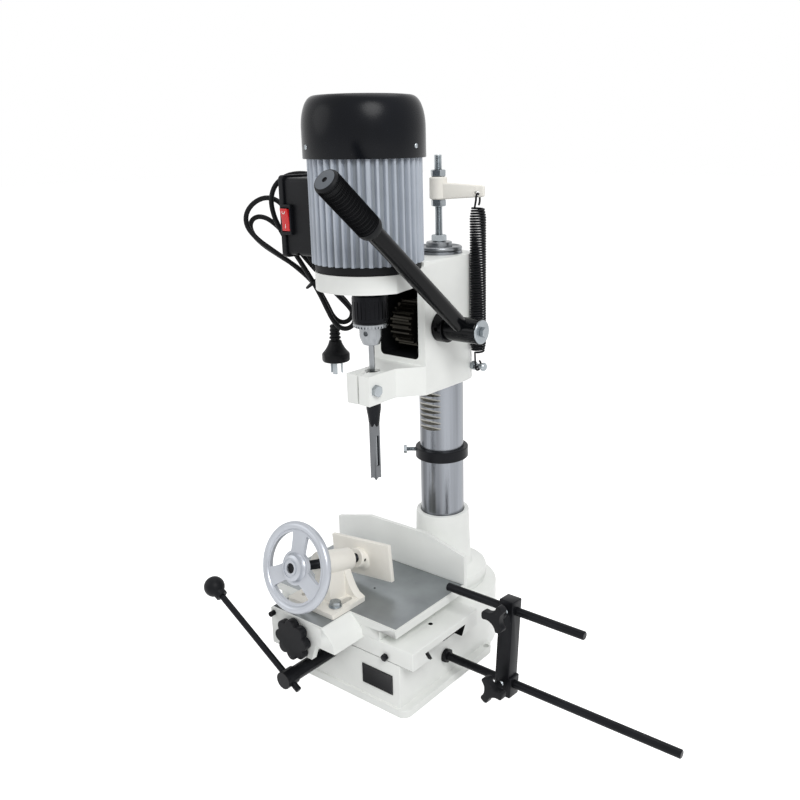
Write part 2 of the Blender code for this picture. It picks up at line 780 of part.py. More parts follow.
def make_column_socket():
    low = BASE_TOP + GAP
    step = FLANGE_STEP_HEIGHT
    deep = FLANGE_RADIUS - FLANGE_STEP_DEPTH
    bore = COLUMN_RADIUS + GAP
    profile = [
        (deep, low),
        (deep, low + step),
        (FLANGE_RADIUS, low + step),
        (FLANGE_RADIUS, FLANGE_TOP),
        (SLEEVE_FOOT_RADIUS, FLANGE_TOP + FLANGE_STEP_DEPTH),
        (SLEEVE_RADIUS, SOCKET_TOP),
        (bore, SOCKET_TOP),
        (bore, SOCKET_FLOOR),
        (bore - SLEEVE_RADIUS / 4, SOCKET_FLOOR),
        (bore - SLEEVE_RADIUS / 4, low),
    ]
    shape = turned(profile, ROUND, closed_ring=True)
    direction = Vector((math.cos(SET_SCREW_ANGLE), math.sin(SET_SCREW_ANGLE), 0))
    hole = rod(
        SET_SCREW_RADIUS + GAP, COLUMN_RADIUS - OVERRUN, SLEEVE_FOOT_RADIUS + OVERRUN, TINY_ROUND
    )
    shape = cut(shape, placed(hole, (0, 0, SET_SCREW_HEIGHT), direction))
    finish_object("column_socket", shape, "casting_paint")
    screw = rod(SET_SCREW_RADIUS, COLUMN_RADIUS + GAP, SLEEVE_FOOT_RADIUS + GAP, TINY_ROUND)
    finish_object("socket_screw", placed(screw, (0, 0, SET_SCREW_HEIGHT), direction), "dark_steel")


def make_column():
    shape = rod(COLUMN_RADIUS, COLUMN_FOOT, COLUMN_TOP, ROUND)
    shape = cut(
        shape, rod(STUD_RADIUS + GAP, COLUMN_TOP - STUD_DEPTH - GAP, COLUMN_TOP + OVERRUN, TINY_ROUND)
    )
    pitch = math.pi * RACK_MODULE
    depth = RACK_MODULE * 2.25
    outer = -COLUMN_RADIUS - OVERRUN
    floor = -COLUMN_RADIUS + depth
    slope = math.tan(math.radians(20))
    widen = (depth + OVERRUN) * slope
    tooth_gap = pitch / 2 - depth / 2 * slope * 2
    count = round((RACK_TOP - RACK_BOTTOM) / pitch)
    for i in range(count):
        middle = LEVER_AXIS_Z + (i - round((LEVER_AXIS_Z - RACK_BOTTOM) / pitch)) * pitch
        half = tooth_gap / 2
        groove = [
            (floor, middle - half),
            (outer, middle - half - widen),
            (outer, middle + half + widen),
            (floor, middle + half),
        ]
        shape = cut(shape, prism(groove, "X", -COLUMN_RADIUS, COLUMN_RADIUS))
    finish_object("column", shape, "polished_steel")


def make_column_top():
    low = COLUMN_TOP + GAP
    top = low + CAP_THICKNESS
    bore = STUD_RADIUS + GAP
    dish = [
        (COLUMN_RADIUS, low),
        (COLUMN_RADIUS, low + CAP_RIM),
        (COLUMN_RADIUS - CAP_RIM, top),
        (NUT_ACROSS_FLATS, low + CAP_RIM),
        (NUT_ACROSS_FLATS, STUD_NUT_BASE - GAP),
        (bore, STUD_NUT_BASE - GAP),
        (bore, low),
    ]
    finish_object("column_cap", turned(dish, ROUND, closed_ring=True), "dark_steel")
    finish_object(
        "column_stud", rod(STUD_RADIUS, COLUMN_TOP - STUD_DEPTH, STUD_TOP, TINY_ROUND), "zinc"
    )
    nuts = {
        "stud_nut": STUD_NUT_BASE,
        "arm_nut_lower": ARM_HUB_BASE - GAP - NUT_HEIGHT,
        "arm_nut_upper": ARM_HUB_BASE + ARM_HUB_HEIGHT + GAP,
    }
    for name, height in nuts.items():
        nut = hex_rod(NUT_ACROSS_FLATS, height, height + NUT_HEIGHT)
        nut = cut(nut, rod(bore, height - OVERRUN, height + NUT_HEIGHT + OVERRUN, TINY_ROUND))
        finish_object(name, nut, "zinc")


def make_spring_arm():
    reach = math.hypot(SPRING_X, SPRING_Y)
    turn = math.atan2(SPRING_Y, SPRING_X)
    middle = ARM_HUB_BASE + ARM_HUB_HEIGHT / 2
    hub = rod(ARM_HUB_RADIUS, ARM_HUB_BASE, ARM_HUB_BASE + ARM_HUB_HEIGHT, SMALL_ROUND)
    arm = bmesh.new()
    ends = (
        (0, ARM_ROOT_WIDTH, ARM_ROOT_HEIGHT), (reach + ARM_TIP_REACH, ARM_TIP_WIDTH, ARM_TIP_HEIGHT)
    )
    rings = []
    for along, width, height in ends:
        corners = rounded_outline((-width / 2, -height / 2), (width / 2, height / 2), width / 3, 3)
        rings.append([arm.verts.new((along, a, middle - ARM_TIP_HEIGHT / 4 + b)) for a, b in corners])
    arm.faces.new(rings[0])
    arm.faces.new(rings[1])
    for i in range(len(rings[0])):
        j = (i + 1) % len(rings[0])
        arm.faces.new((rings[0][i], rings[0][j], rings[1][j], rings[1][i]))
    bmesh.ops.transform(arm, matrix=Matrix.Rotation(turn, 4, "Z"), verts=arm.verts)
    shape = join(hub, arm)
    shape = cut(
        shape,
        rod(
            STUD_RADIUS + GAP,
            ARM_HUB_BASE - OVERRUN,
            ARM_HUB_BASE + ARM_HUB_HEIGHT + OVERRUN,
            TINY_ROUND,
        ),
    )
    across = Vector((-math.sin(turn), math.cos(turn), 0))
    hole = rod(HOOK_HOLE_RADIUS, -ARM_ROOT_WIDTH, ARM_ROOT_WIDTH, TINY_ROUND)
    shape = cut(shape, placed(hole, (SPRING_X, SPRING_Y, SPRING_UPPER_HOOK_Z), across))
    finish_object("spring_arm", shape, "cream_paint")


def spring_path():
    """Hook, coil and hook, from the bolt on the head up to the arm."""
    turn = math.atan2(SPRING_Y, SPRING_X)
    across = Vector((-math.sin(turn), math.cos(turn), 0))
    up = Vector((0, 0, 1))
    seat = SPRING_HOOK_RADIUS - SPRING_BOLT_RADIUS - SPRING_WIRE / 2 - GAP
    lower_eye = Vector((SPRING_X, SPRING_Y, SPRING_BOLT_HEIGHT + seat))
    upper_eye = Vector((SPRING_X, SPRING_Y, SPRING_UPPER_HOOK_Z - SPRING_UPPER_HOOK_RADIUS))
    points = []
    hook_steps = 10
    for i in range(hook_steps + 1):
        bend = math.radians(-150 + 240 * i / hook_steps)
        points.append(
            lower_eye - SPRING_HOOK_RADIUS * (Vector((0, 1, 0)) * math.sin(bend) + up * math.cos(bend))
        )
    total = SPRING_CURLS * SPRING_POINTS_PER_CURL
    start = math.atan2(-1, 0)
    for i in range(total + 1):
        share = i / total
        spin = start + math.tau * SPRING_CURLS * share
        height = SPRING_COIL_BOTTOM + (SPRING_COIL_TOP - SPRING_COIL_BOTTOM) * share
        ring = Vector((math.cos(spin), math.sin(spin), 0)) * SPRING_MEAN_RADIUS
        points.append(Vector((SPRING_X, SPRING_Y, height)) + ring)
    radius = SPRING_UPPER_HOOK_RADIUS
    for i in range(hook_steps + 1):
        bend = math.radians(-90 + 240 * i / hook_steps)
        points.append(upper_eye + radius * (across * math.sin(bend) + up * math.cos(bend)))
    return points


def make_return_spring():
    points = spring_path()
    print("return_spring least gap to itself in mm:", round(least_gap(points, SPRING_WIRE) * 1000, 2))
    smooth_tube("return_spring", points, SPRING_WIRE / 2, 1, "black_paint")


def make_depth_collar(carrier):
    shape = tube(COLLAR_RADIUS, COLUMN_RADIUS + GAP, COLLAR_BASE, COLLAR_BASE + COLLAR_HEIGHT)
    middle = COLLAR_BASE + COLLAR_HEIGHT / 2
    direction = Vector((math.cos(COLLAR_BOLT_ANGLE), math.sin(COLLAR_BOLT_ANGLE), 0))
    hole = rod(COLLAR_BOLT_RADIUS + GAP, COLUMN_RADIUS - OVERRUN, COLLAR_RADIUS + OVERRUN, TINY_ROUND)
    shape = cut(shape, placed(hole, (0, 0, middle), direction))
    finish_object("depth_stop_collar", shape, "black_paint", carrier)
    bolt = rod(COLLAR_BOLT_RADIUS, COLUMN_RADIUS + GAP, COLLAR_BOLT_REACH, TINY_ROUND)
    bolt = join(
        bolt, hex_rod(COLLAR_BOLT_FLATS, COLLAR_BOLT_REACH - COLLAR_BOLT_HEAD, COLLAR_BOLT_REACH + GAP)
    )
    finish_object("collar_bolt", placed(bolt, (0, 0, middle), direction), "zinc", carrier)


def make_head_casting(carrier):
    rear = arc((0, 0), HEAD_HALF_WIDTH, 0, math.pi, ROUND // 2)
    block_outline = [(HEAD_HALF_WIDTH, -HEAD_FRONT), *rear, (-HEAD_HALF_WIDTH, -HEAD_FRONT)]
    shape = prism(block_outline, "Z", HEAD_BOTTOM, HEAD_TOP)
    front_arc = arc(
        (0, SPINDLE_Y),
        PLATE_RADIUS,
        math.pi + math.radians(18),
        math.tau - math.radians(18),
        ROUND // 2,
    )
    plate = [
        (HEAD_HALF_WIDTH, -HEAD_FRONT + OVERRUN), (-HEAD_HALF_WIDTH, -HEAD_FRONT + OVERRUN), *front_arc
    ]
    shape = join(shape, prism(plate, "Z", PLATE_BOTTOM, PLATE_TOP))
    holder = [
        (HEAD_HALF_WIDTH, -HEAD_FRONT + OVERRUN),
        (-HEAD_HALF_WIDTH, -HEAD_FRONT + OVERRUN),
        (-HEAD_HALF_WIDTH, -HEAD_FRONT),
        (-HOLDER_HALF_WIDTH, -HOLDER_REAR),
        (-HOLDER_HALF_WIDTH, -HOLDER_FRONT),
        (HOLDER_HALF_WIDTH, -HOLDER_FRONT),
        (HOLDER_HALF_WIDTH, -HOLDER_REAR),
        (HEAD_HALF_WIDTH, -HEAD_FRONT),
    ]
    shape = join(shape, prism(holder, "Z", HEAD_BOTTOM, HOLDER_TOP))
    inner = HEAD_HALF_WIDTH - HEAD_WALL
    window = rounded_outline((-inner, WINDOW_BOTTOM), (inner, WINDOW_TOP), WINDOW_CORNER, 3)
    shape = cut(shape, prism(window, "Y", -HEAD_FRONT - OVERRUN, -COLUMN_RADIUS / 2))
    shape = cut(shape, rod(COLUMN_RADIUS + GAP, HEAD_BOTTOM - OVERRUN, HEAD_TOP + OVERRUN, ROUND))
    spindle = Vector((0, SPINDLE_Y, 0))
    shape = cut(
        shape, placed(rod(PLATE_BORE, PLATE_BOTTOM - OVERRUN, PLATE_TOP + OVERRUN, ROUND), spindle)
    )
    bell_room = placed(rod(BELL_RADIUS + 2 * GAP, PLATE_TOP, HEAD_TOP + OVERRUN, ROUND), spindle)
    shape = cut(shape, bell_room)
    shape = cut(
        shape,
        placed(rod(HOLDER_BORE, HEAD_BOTTOM - OVERRUN, HOLDER_TOP + OVERRUN, SMALL_ROUND), spindle),
    )
    half_slit = HOLDER_SLIT / 2
    slit = block(
        (-half_slit, half_slit),
        (-HOLDER_FRONT - OVERRUN, SPINDLE_Y),
        (HEAD_BOTTOM - OVERRUN, HOLDER_TOP + OVERRUN),
    )
    bolt_hole = rod(CLAMP_BOLT_RADIUS + GAP, -HEAD_HALF_WIDTH, HEAD_HALF_WIDTH, TINY_ROUND)
    shaft_bore = rod(
        PINION_SHAFT_RADIUS + GAP, -HEAD_HALF_WIDTH - OVERRUN, HEAD_HALF_WIDTH + OVERRUN, SMALL_ROUND
    )
    spring_hole = rod(
        SPRING_BOLT_RADIUS + GAP, SPRING_BOLT_START - GAP, HEAD_HALF_WIDTH + OVERRUN, TINY_ROUND
    )
    shape = cut(
        shape,
        slit,
        placed(bolt_hole, (0, CLAMP_BOLT_Y, CLAMP_BOLT_HEIGHT), (1, 0, 0)),
        placed(shaft_bore, (0, LEVER_AXIS_Y, LEVER_AXIS_Z), (1, 0, 0)),
        placed(spring_hole, (0, SPRING_Y, SPRING_BOLT_HEIGHT), (1, 0, 0)),
    )
    finish_object("head_casting", shape, "casting_paint", carrier)


def make_head_bolts(carrier):
    face = HOLDER_HALF_WIDTH + GAP
    bolt = rod(CLAMP_BOLT_RADIUS, -HOLDER_HALF_WIDTH, face + GAP, TINY_ROUND)
    bolt = join(bolt, hex_rod(CLAMP_BOLT_FLATS, face, face + CLAMP_BOLT_HEAD))
    bolt = placed(bolt, (0, CLAMP_BOLT_Y, CLAMP_BOLT_HEIGHT), (1, 0, 0))
    finish_object("chisel_clamp_bolt", bolt, "zinc", carrier)
    shank = rod(SPRING_BOLT_RADIUS, SPRING_BOLT_START, SPRING_BOLT_END, TINY_ROUND)
    head = hex_rod(SPRING_BOLT_FLATS, SPRING_BOLT_END - SPRING_BOLT_HEAD, SPRING_BOLT_END + GAP)
    seat = HEAD_HALF_WIDTH + GAP
    nut = hex_rod(SPRING_BOLT_FLATS, seat, seat + SPRING_NUT)
    bolt = placed(join(shank, head, nut), (0, SPRING_Y, SPRING_BOLT_HEIGHT), (1, 0, 0))
    finish_object("spring_bolt", bolt, "zinc", carrier)


def make_motor(carrier):
    spindle = Vector((0, SPINDLE_Y, 0))
    low = PLATE_TOP + GAP
    seat = BEARING_RADIUS + GAP
    shoulder = SHAFT_RADIUS + (BEARING_RADIUS - SHAFT_RADIUS) / 2
    bell = [
        (PLATE_BORE - GAP, low - FOOT_THICKNESS),
        (PLATE_BORE - GAP, low),
        (BELL_RADIUS, low),
        (BELL_RADIUS, MOTOR_BOTTOM - GAP),
        (seat + BEARING_SEAT_WALL, MOTOR_BOTTOM - GAP),
        (seat + BEARING_SEAT_WALL, MOTOR_BOTTOM + BEARING_HEIGHT / 2),
        (seat, MOTOR_BOTTOM + BEARING_HEIGHT / 2),
        (seat, low + GAP),
        (shoulder, low + GAP),
        (shoulder, low - FOOT_THICKNESS),
    ]
    finish_object(
        "motor_lower_bell", placed(turned(bell, ROUND, True), spindle), "black_paint", carrier
    )
    bearing = tube(
        BEARING_RADIUS, SHAFT_RADIUS + GAP, low + 2 * GAP, low + 2 * GAP + BEARING_HEIGHT, SMALL_ROUND
    )
    finish_object("motor_bearing", placed(bearing, spindle), "polished_steel", carrier)

    points = []
    for i in range(MOTOR_FINS):
        step = math.tau / MOTOR_FINS
        middle = i * step
        half = step * FIN_THICKNESS_SHARE / 2
        for radius, turn in (
            (MOTOR_ROOT_RADIUS, middle - half),
            (MOTOR_RADIUS, middle - half * 0.75),
            (MOTOR_RADIUS, middle + half * 0.75),
            (MOTOR_ROOT_RADIUS, middle + half),
        ):
            points.append((radius * math.cos(turn), radius * math.sin(turn)))
    housing = prism(points, "Z", MOTOR_BOTTOM, MOTOR_TOP)
    bore = rod(MOTOR_BORE, MOTOR_BOTTOM - OVERRUN, MOTOR_TOP - MOTOR_END_WEB, ROUND)
    shaft_hole = rod(
        SHAFT_RADIUS + GAP, MOTOR_TOP - MOTOR_END_WEB - OVERRUN, MOTOR_TOP + OVERRUN, SMALL_ROUND
    )
    housing = cut(housing, bore, shaft_hole)
    finish_object("motor_housing", placed(housing, spindle), "motor_paint", carrier)
    stator = tube(MOTOR_BORE - GAP, STATOR_INNER_RADIUS, ROTOR_BOTTOM, ROTOR_TOP)
    finish_object("stator_core", placed(stator, spindle), "copper", carrier)


def make_fan_cover(carrier):
    low = MOTOR_TOP + GAP
    drop = COVER_TOP - COVER_SHOULDER
    inset = COVER_RADIUS - COVER_RIM_RADIUS
    shoulder = []
    for i in range(5):
        turn = math.pi / 2 * i / 4
        shoulder.append(
            (COVER_RIM_RADIUS + inset * math.cos(turn), COVER_SHOULDER + drop * math.sin(turn))
        )
    wall = COVER_WALL
    recess = COVER_TOP - COVER_RECESS
    outside = [
        (COVER_RADIUS, low),
        *shoulder,
        (COVER_RIM_RADIUS - wall, COVER_TOP),
        (COVER_RIM_RADIUS - wall, recess),
        (0, recess),
    ]
    inside = [(0, recess - wall), (COVER_RIM_RADIUS - 2 * wall, recess - wall)]
    inside += [(radius - wall, height - wall) for radius, height in reversed(shoulder[:-1])]
    seat = MOTOR_ROOT_RADIUS - wall
    inside += [(COVER_RADIUS - wall, low + wall), (seat, low + wall), (seat, low)]
    shape = turned([*outside, *inside], ROUND, closed_ring=True)
    for i in range(GRILLE_SLOTS):
        turn = math.tau * i / GRILLE_SLOTS
        slot = block(
            (GRILLE_SLOT_INNER, GRILLE_SLOT_OUTER),
            (-GRILLE_SLOT_WIDTH / 2, GRILLE_SLOT_WIDTH / 2),
            (recess - wall - OVERRUN, recess + OVERRUN),
        )
        bmesh.ops.transform(slot, matrix=Matrix.Rotation(turn, 4, "Z"), verts=slot.verts)
        shape = cut(shape, slot)
    finish_object("fan_cover", placed(shape, (0, SPINDLE_Y, 0)), "black_paint", carrier)


def make_spindle(carrier):
    axis = Vector((0, SPINDLE_Y, 0))
    core = solid_profile(
        (SHAFT_RADIUS, SHAFT_BOTTOM),
        (SHAFT_RADIUS, ROTOR_BOTTOM),
        (ROTOR_RADIUS, ROTOR_BOTTOM),
        (ROTOR_RADIUS, ROTOR_TOP),
        (SHAFT_RADIUS, ROTOR_TOP),
        (SHAFT_RADIUS, SHAFT_TOP),
    )
    finish_object("rotor_shaft", placed(turned(core, SMALL_ROUND), axis), "dark_steel", carrier)
    fan = tube(FAN_HUB_RADIUS, SHAFT_RADIUS + GAP, FAN_BOTTOM, FAN_BOTTOM + FAN_HEIGHT, SMALL_ROUND)
    disc = tube(FAN_RADIUS, FAN_HUB_RADIUS - GAP, FAN_BOTTOM, FAN_BOTTOM + FAN_DISC, SMALL_ROUND)
    fan = join(fan, disc)
    for i in range(FAN_BLADES):
        blade = block(
            (FAN_HUB_RADIUS - GAP, FAN_RADIUS - GAP),
            (-FAN_BLADE_THICKNESS / 2, FAN_BLADE_THICKNESS / 2),
            (FAN_BOTTOM + GAP, FAN_BOTTOM + FAN_HEIGHT - GAP),
        )
        turn = math.tau * (i + 0.5) / FAN_BLADES
        bmesh.ops.transform(blade, matrix=Matrix.Rotation(turn, 4, "Z"), verts=blade.verts)
        fan = join(fan, blade)
    finish_object("cooling_fan", placed(fan, axis), "black_plastic", carrier)
    chuck = [
        (SHAFT_RADIUS + GAP, CHUCK_TOP),
        (SHAFT_RADIUS + GAP, SHAFT_BOTTOM - GAP),
        (AUGER_SHANK_RADIUS + GAP, SHAFT_BOTTOM - GAP),
        (AUGER_SHANK_RADIUS + GAP, CHUCK_NOSE_BOTTOM),
        (CHUCK_TAPER_RADIUS, CHUCK_NOSE_BOTTOM),
        (CHUCK_NOSE_RADIUS, CHUCK_NOSE_BOTTOM + CHUCK_NOSE_RADIUS / 3),
        (CHUCK_NOSE_RADIUS, CHUCK_TEETH_BOTTOM),
        (CHUCK_SLEEVE_RADIUS - GAP * 2, CHUCK_TEETH_BOTTOM),
        (CHUCK_SLEEVE_RADIUS - GAP * 2, CHUCK_SLEEVE_BOTTOM),
        (CHUCK_SLEEVE_RADIUS, CHUCK_SLEEVE_BOTTOM),
        (CHUCK_SLEEVE_RADIUS, CHUCK_TOP - CHUCK_TAPER_RADIUS / 3),
        (CHUCK_SLEEVE_RADIUS - CHUCK_TAPER_RADIUS / 3, CHUCK_TOP),
    ]
    finish_object("drill_chuck", placed(turned(chuck, SMALL_ROUND, True), axis), "dark_steel", carrier)
    auger = solid_profile(
        (AUGER_POINT / 4, AUGER_BOTTOM - AUGER_POINT),
        (AUGER_RADIUS, AUGER_BOTTOM),
        (AUGER_RADIUS, AUGER_NECK - AUGER_POINT),
        (AUGER_SHANK_RADIUS, AUGER_NECK),
        (AUGER_SHANK_RADIUS, AUGER_TOP),
    )
    finish_object("auger_bit", placed(turned(auger, TINY_ROUND), axis), "polished_steel", carrier)


def make_hollow_chisel(carrier):
    """A square hollow chisel that swells into a round shank."""
    steps = 8
    count = steps * 4
    levels = [(CHISEL_TIP, 1.0), (CHISEL_BODY_TOP, 1.0)]
    levels += [
        (CHISEL_BODY_TOP + (CHISEL_NECK_TOP - CHISEL_BODY_TOP) * i / 3, 1 - i / 3) for i in (1, 2, 3)
    ]
    levels += [(CHISEL_SHANK_TOP, 0.0)]
    shape = bmesh.new()
    rings = []
    for height, squareness in levels:
        ring = []
        for i in range(count):
            turn = math.tau * (i + 0.5) / count
            direction = (math.cos(turn), math.sin(turn))
            square = CHISEL_SIDE / 2 / max(abs(direction[0]), abs(direction[1]))
            radius = CHISEL_SHANK_RADIUS + (square - CHISEL_SHANK_RADIUS) * squareness
            ring.append(shape.verts.new((radius * direction[0], radius * direction[1], height)))
        rings.append(ring)
    shape.faces.new(rings[0])
    shape.faces.new(rings[-1])
    for first, second in zip(rings, rings[1:]):
        for i in range(count):
            j = (i + 1) % count
            shape.faces.new((first[i], first[j], second[j], second[i]))
    bore = rod(CHISEL_BORE, CHISEL_TIP - OVERRUN, CHISEL_SHANK_TOP + OVERRUN, TINY_ROUND)
    hollow = turned(
        solid_profile(
            (CHISEL_SIDE, CHISEL_TIP - OVERRUN), (CHISEL_BORE / 2, CHISEL_TIP + CHISEL_TIP_HOLLOW)
        ),
        SMALL_ROUND,
    )
    slot = block(
        (0, CHISEL_SIDE), (-CHIP_SLOT_WIDTH / 2, CHIP_SLOT_WIDTH / 2), (CHIP_SLOT_BOTTOM, CHIP_SLOT_TOP)
    )
    shape = cut(shape, bore, hollow, slot)
    finish_object("hollow_chisel", placed(shape, (0, SPINDLE_Y, 0)), "dark_steel", carrier)


def make_switch_box(carrier):
    face = rounded_outline((BOX_FRONT, BOX_BOTTOM), (BOX_REAR, BOX_TOP), BOX_CORNER, 3)
    shape = prism(face, "X", BOX_LEFT + BOX_LID, BOX_RIGHT)
    grown = rounded_outline(
        (BOX_FRONT - BOX_LID_STEP, BOX_BOTTOM - BOX_LID_STEP),
        (BOX_REAR + BOX_LID_STEP, BOX_TOP + BOX_LID_STEP),
        BOX_CORNER,
        3,
    )
    shape = join(shape, prism(grown, "X", BOX_LEFT, BOX_LEFT + BOX_LID))
    hollow = block(
        (BOX_LEFT + BOX_WALL, BOX_RIGHT + OVERRUN),
        (BOX_FRONT + BOX_WALL, BOX_REAR - BOX_WALL),
        (BOX_BOTTOM + BOX_WALL, BOX_TOP - BOX_WALL),
    )
    bezel = block(
        (BEZEL_CENTRE_X - BEZEL_HALF_WIDTH, BEZEL_CENTRE_X + BEZEL_HALF_WIDTH),
        (BOX_FRONT - BOX_LID_STEP - BEZEL_PROUD, BOX_FRONT + GAP),
        (BEZEL_BOTTOM, BEZEL_TOP),
    )
    gland = rod(GLAND_RADIUS, -BOX_WALL / 2, GLAND_LENGTH, TINY_ROUND)
    gland = placed(gland, (GLAND_X, BOX_REAR, GLAND_HEIGHT), (0, 1, 0))
    shape = join(cut(shape, hollow), bezel, gland)
    middle = (BEZEL_BOTTOM + BEZEL_TOP) / 2
    opening = block(
        (BEZEL_CENTRE_X - ROCKER_HALF_WIDTH - GAP, BEZEL_CENTRE_X + ROCKER_HALF_WIDTH + GAP),
        (BOX_FRONT - BOX_LID_STEP - BEZEL_PROUD - OVERRUN, BOX_FRONT + BOX_WALL + OVERRUN),
        (middle - ROCKER_HALF_HEIGHT - GAP * 3, middle + ROCKER_HALF_HEIGHT + GAP * 3),
    )
    body = rod(MOTOR_RADIUS + 2 * GAP, BOX_BOTTOM - OVERRUN, BOX_TOP + 2 * OVERRUN, ROUND)
    shape = cut(shape, opening, placed(body, (0, SPINDLE_Y, 0)))
    finish_object("switch_box", shape, "black_plastic", carrier)


def make_rocker(carrier):
    middle = (BEZEL_BOTTOM + BEZEL_TOP) / 2
    face = BOX_FRONT - BOX_LID_STEP - BEZEL_PROUD
    half = ROCKER_HALF_HEIGHT
    outline = [
        (face - ROCKER_PROUD, middle + half),
        (face - ROCKER_PROUD / 4, middle),
        (face - ROCKER_PROUD / 8, middle - half),
        (face + ROCKER_DEPTH / 2, middle - half * 0.85),
        (face + ROCKER_DEPTH / 2, middle + half * 0.85),
    ]
    shape = prism(outline, "X", BEZEL_CENTRE_X - ROCKER_HALF_WIDTH, BEZEL_CENTRE_X + ROCKER_HALF_WIDTH)
    finish_object("rocker_switch", shape, "red_plastic", carrier)


def hank_point(along, layer, height):
    """A point of the hank: along the plane that it hangs in, behind that plane, and up."""
    right = Vector((math.cos(HANK_HEADING), math.sin(HANK_HEADING), 0))
    behind = Vector((-math.sin(HANK_HEADING), math.cos(HANK_HEADING), 0))
    return right * along + behind * layer + Vector((0, 0, height))


def lobe_points(turns, axis, length, half_width, side):
    """Half a loop, from the waist round a teardrop lobe and back to the waist."""
    steps = CORD_POINTS_PER_LOOP // 2
    right = Vector((abs(axis.y), abs(axis.x)))
    points = []
    for i in range(steps):
        half_turn = math.pi * i / steps
        swell = 1.3 * half_width * math.sin(2 * half_turn) * math.sin(half_turn)
        offset = side * (HANK_WAIST_HALF_WIDTH * math.cos(half_turn) + swell)
        place = Vector(HANK_WAIST) + axis * length * math.sin(half_turn) + right * offset
        layer = HANK_FRONT_LAYER + CORD_LAYER_STEP * (turns + i / steps / 2)
        points.append((place.x, layer, place.y))
    return points


def cord_path():
    """The cord from its gland, round the hank's loops and on to the plug."""
    loops = list(CORD_LEAD)
    down = Vector((math.sin(LOWER_LOBE_LEAN), -math.cos(LOWER_LOBE_LEAN)))
    for i in range(CORD_LOOPS):
        lean = UPPER_LOBE_LEAN + UPPER_LOBE_LEAN_STEP * i
        up = Vector((-math.sin(lean), math.cos(lean)))
        low_length = LOWER_LOBE_LENGTH * LOWER_LOBE_SHARES[i]
        loops += lobe_points(i, down, low_length, LOWER_LOBE_HALF_WIDTH * LOWER_LOBE_SHARES[i], -1)
        high_width = UPPER_LOBE_HALF_WIDTH * UPPER_WIDTH_SHARES[i]
        loops += lobe_points(i + 0.5, up, UPPER_LOBE_LENGTH * UPPER_LOBE_SHARES[i], high_width, 1)
    back_layer = HANK_FRONT_LAYER + CORD_LAYER_STEP * CORD_LOOPS
    loops.append((HANK_WAIST[0] - HANK_WAIST_HALF_WIDTH, back_layer, HANK_WAIST[1]))
    points = [hank_point(*loop) for loop in loops]
    gland_end = Vector((GLAND_X, BOX_REAR + GLAND_LENGTH + GAP, GLAND_HEIGHT))
    plug_top = hank_point(*PLUG_PLACE, PLUG_TOP + GAP)
    straight = 2 * CORD_RADIUS
    lead = [gland_end, gland_end + Vector((0, straight, 0))]
    tail = [plug_top + Vector((0, 0, straight)), plug_top]
    middle = (points[-1] + tail[0]) / 2
    smooth = [*lead, *points, middle, *tail]
    for repeat in range(2):
        inner = [(a + 2 * b + c) / 4 for a, b, c in zip(smooth, smooth[1:], smooth[2:])]
        smooth = [*smooth[:2], *inner[1:-1], *smooth[-2:]]
    return smooth


def make_cord(carrier):
    route = cord_path()
    print("power_cord least gap to itself in mm:", round(least_gap(route, 2 * CORD_RADIUS) * 1000, 2))
    smooth_tube("power_cord", route, CORD_RADIUS, 1, "rubber", carrier)


def make_plug(carrier):
    top = PLUG_TOP
    low = PLUG_FLANGE_BOTTOM
    profile = solid_profile(
        (PLUG_FLANGE_RADIUS * 0.92, low),
        (PLUG_FLANGE_RADIUS, low + PLUG_FLANGE_HEIGHT / 6),
        (PLUG_FLANGE_RADIUS, low + PLUG_FLANGE_HEIGHT * 0.8),
        (PLUG_FLANGE_RADIUS * 0.9, low + PLUG_FLANGE_HEIGHT),
        (PLUG_NECK_RADIUS, low + PLUG_FLANGE_HEIGHT * 2.2),
        (PLUG_GRIP_RADIUS, low + PLUG_FLANGE_HEIGHT * 2.4),
        (PLUG_GRIP_RADIUS, top),
    )
    place = hank_point(*PLUG_PLACE, 0)
    shape = placed(turned(profile, SMALL_ROUND), place)
    for turn in (math.radians(90), math.radians(210), math.radians(330)):
        pin = block(
            (-PLUG_PIN_WIDTH / 2, PLUG_PIN_WIDTH / 2),
            (PLUG_PIN_OFFSET - PLUG_PIN_THICKNESS / 2, PLUG_PIN_OFFSET + PLUG_PIN_THICKNESS / 2),
            (low - PLUG_PIN_LENGTH, low + PLUG_PIN_THICKNESS),
        )
        spin = Matrix.Translation(place) @ Matrix.Rotation(turn, 4, "Z")
        bmesh.ops.transform(pin, matrix=spin, verts=pin.verts)
        shape = join(shape, pin)
    finish_object("power_plug", shape, "rubber", carrier)


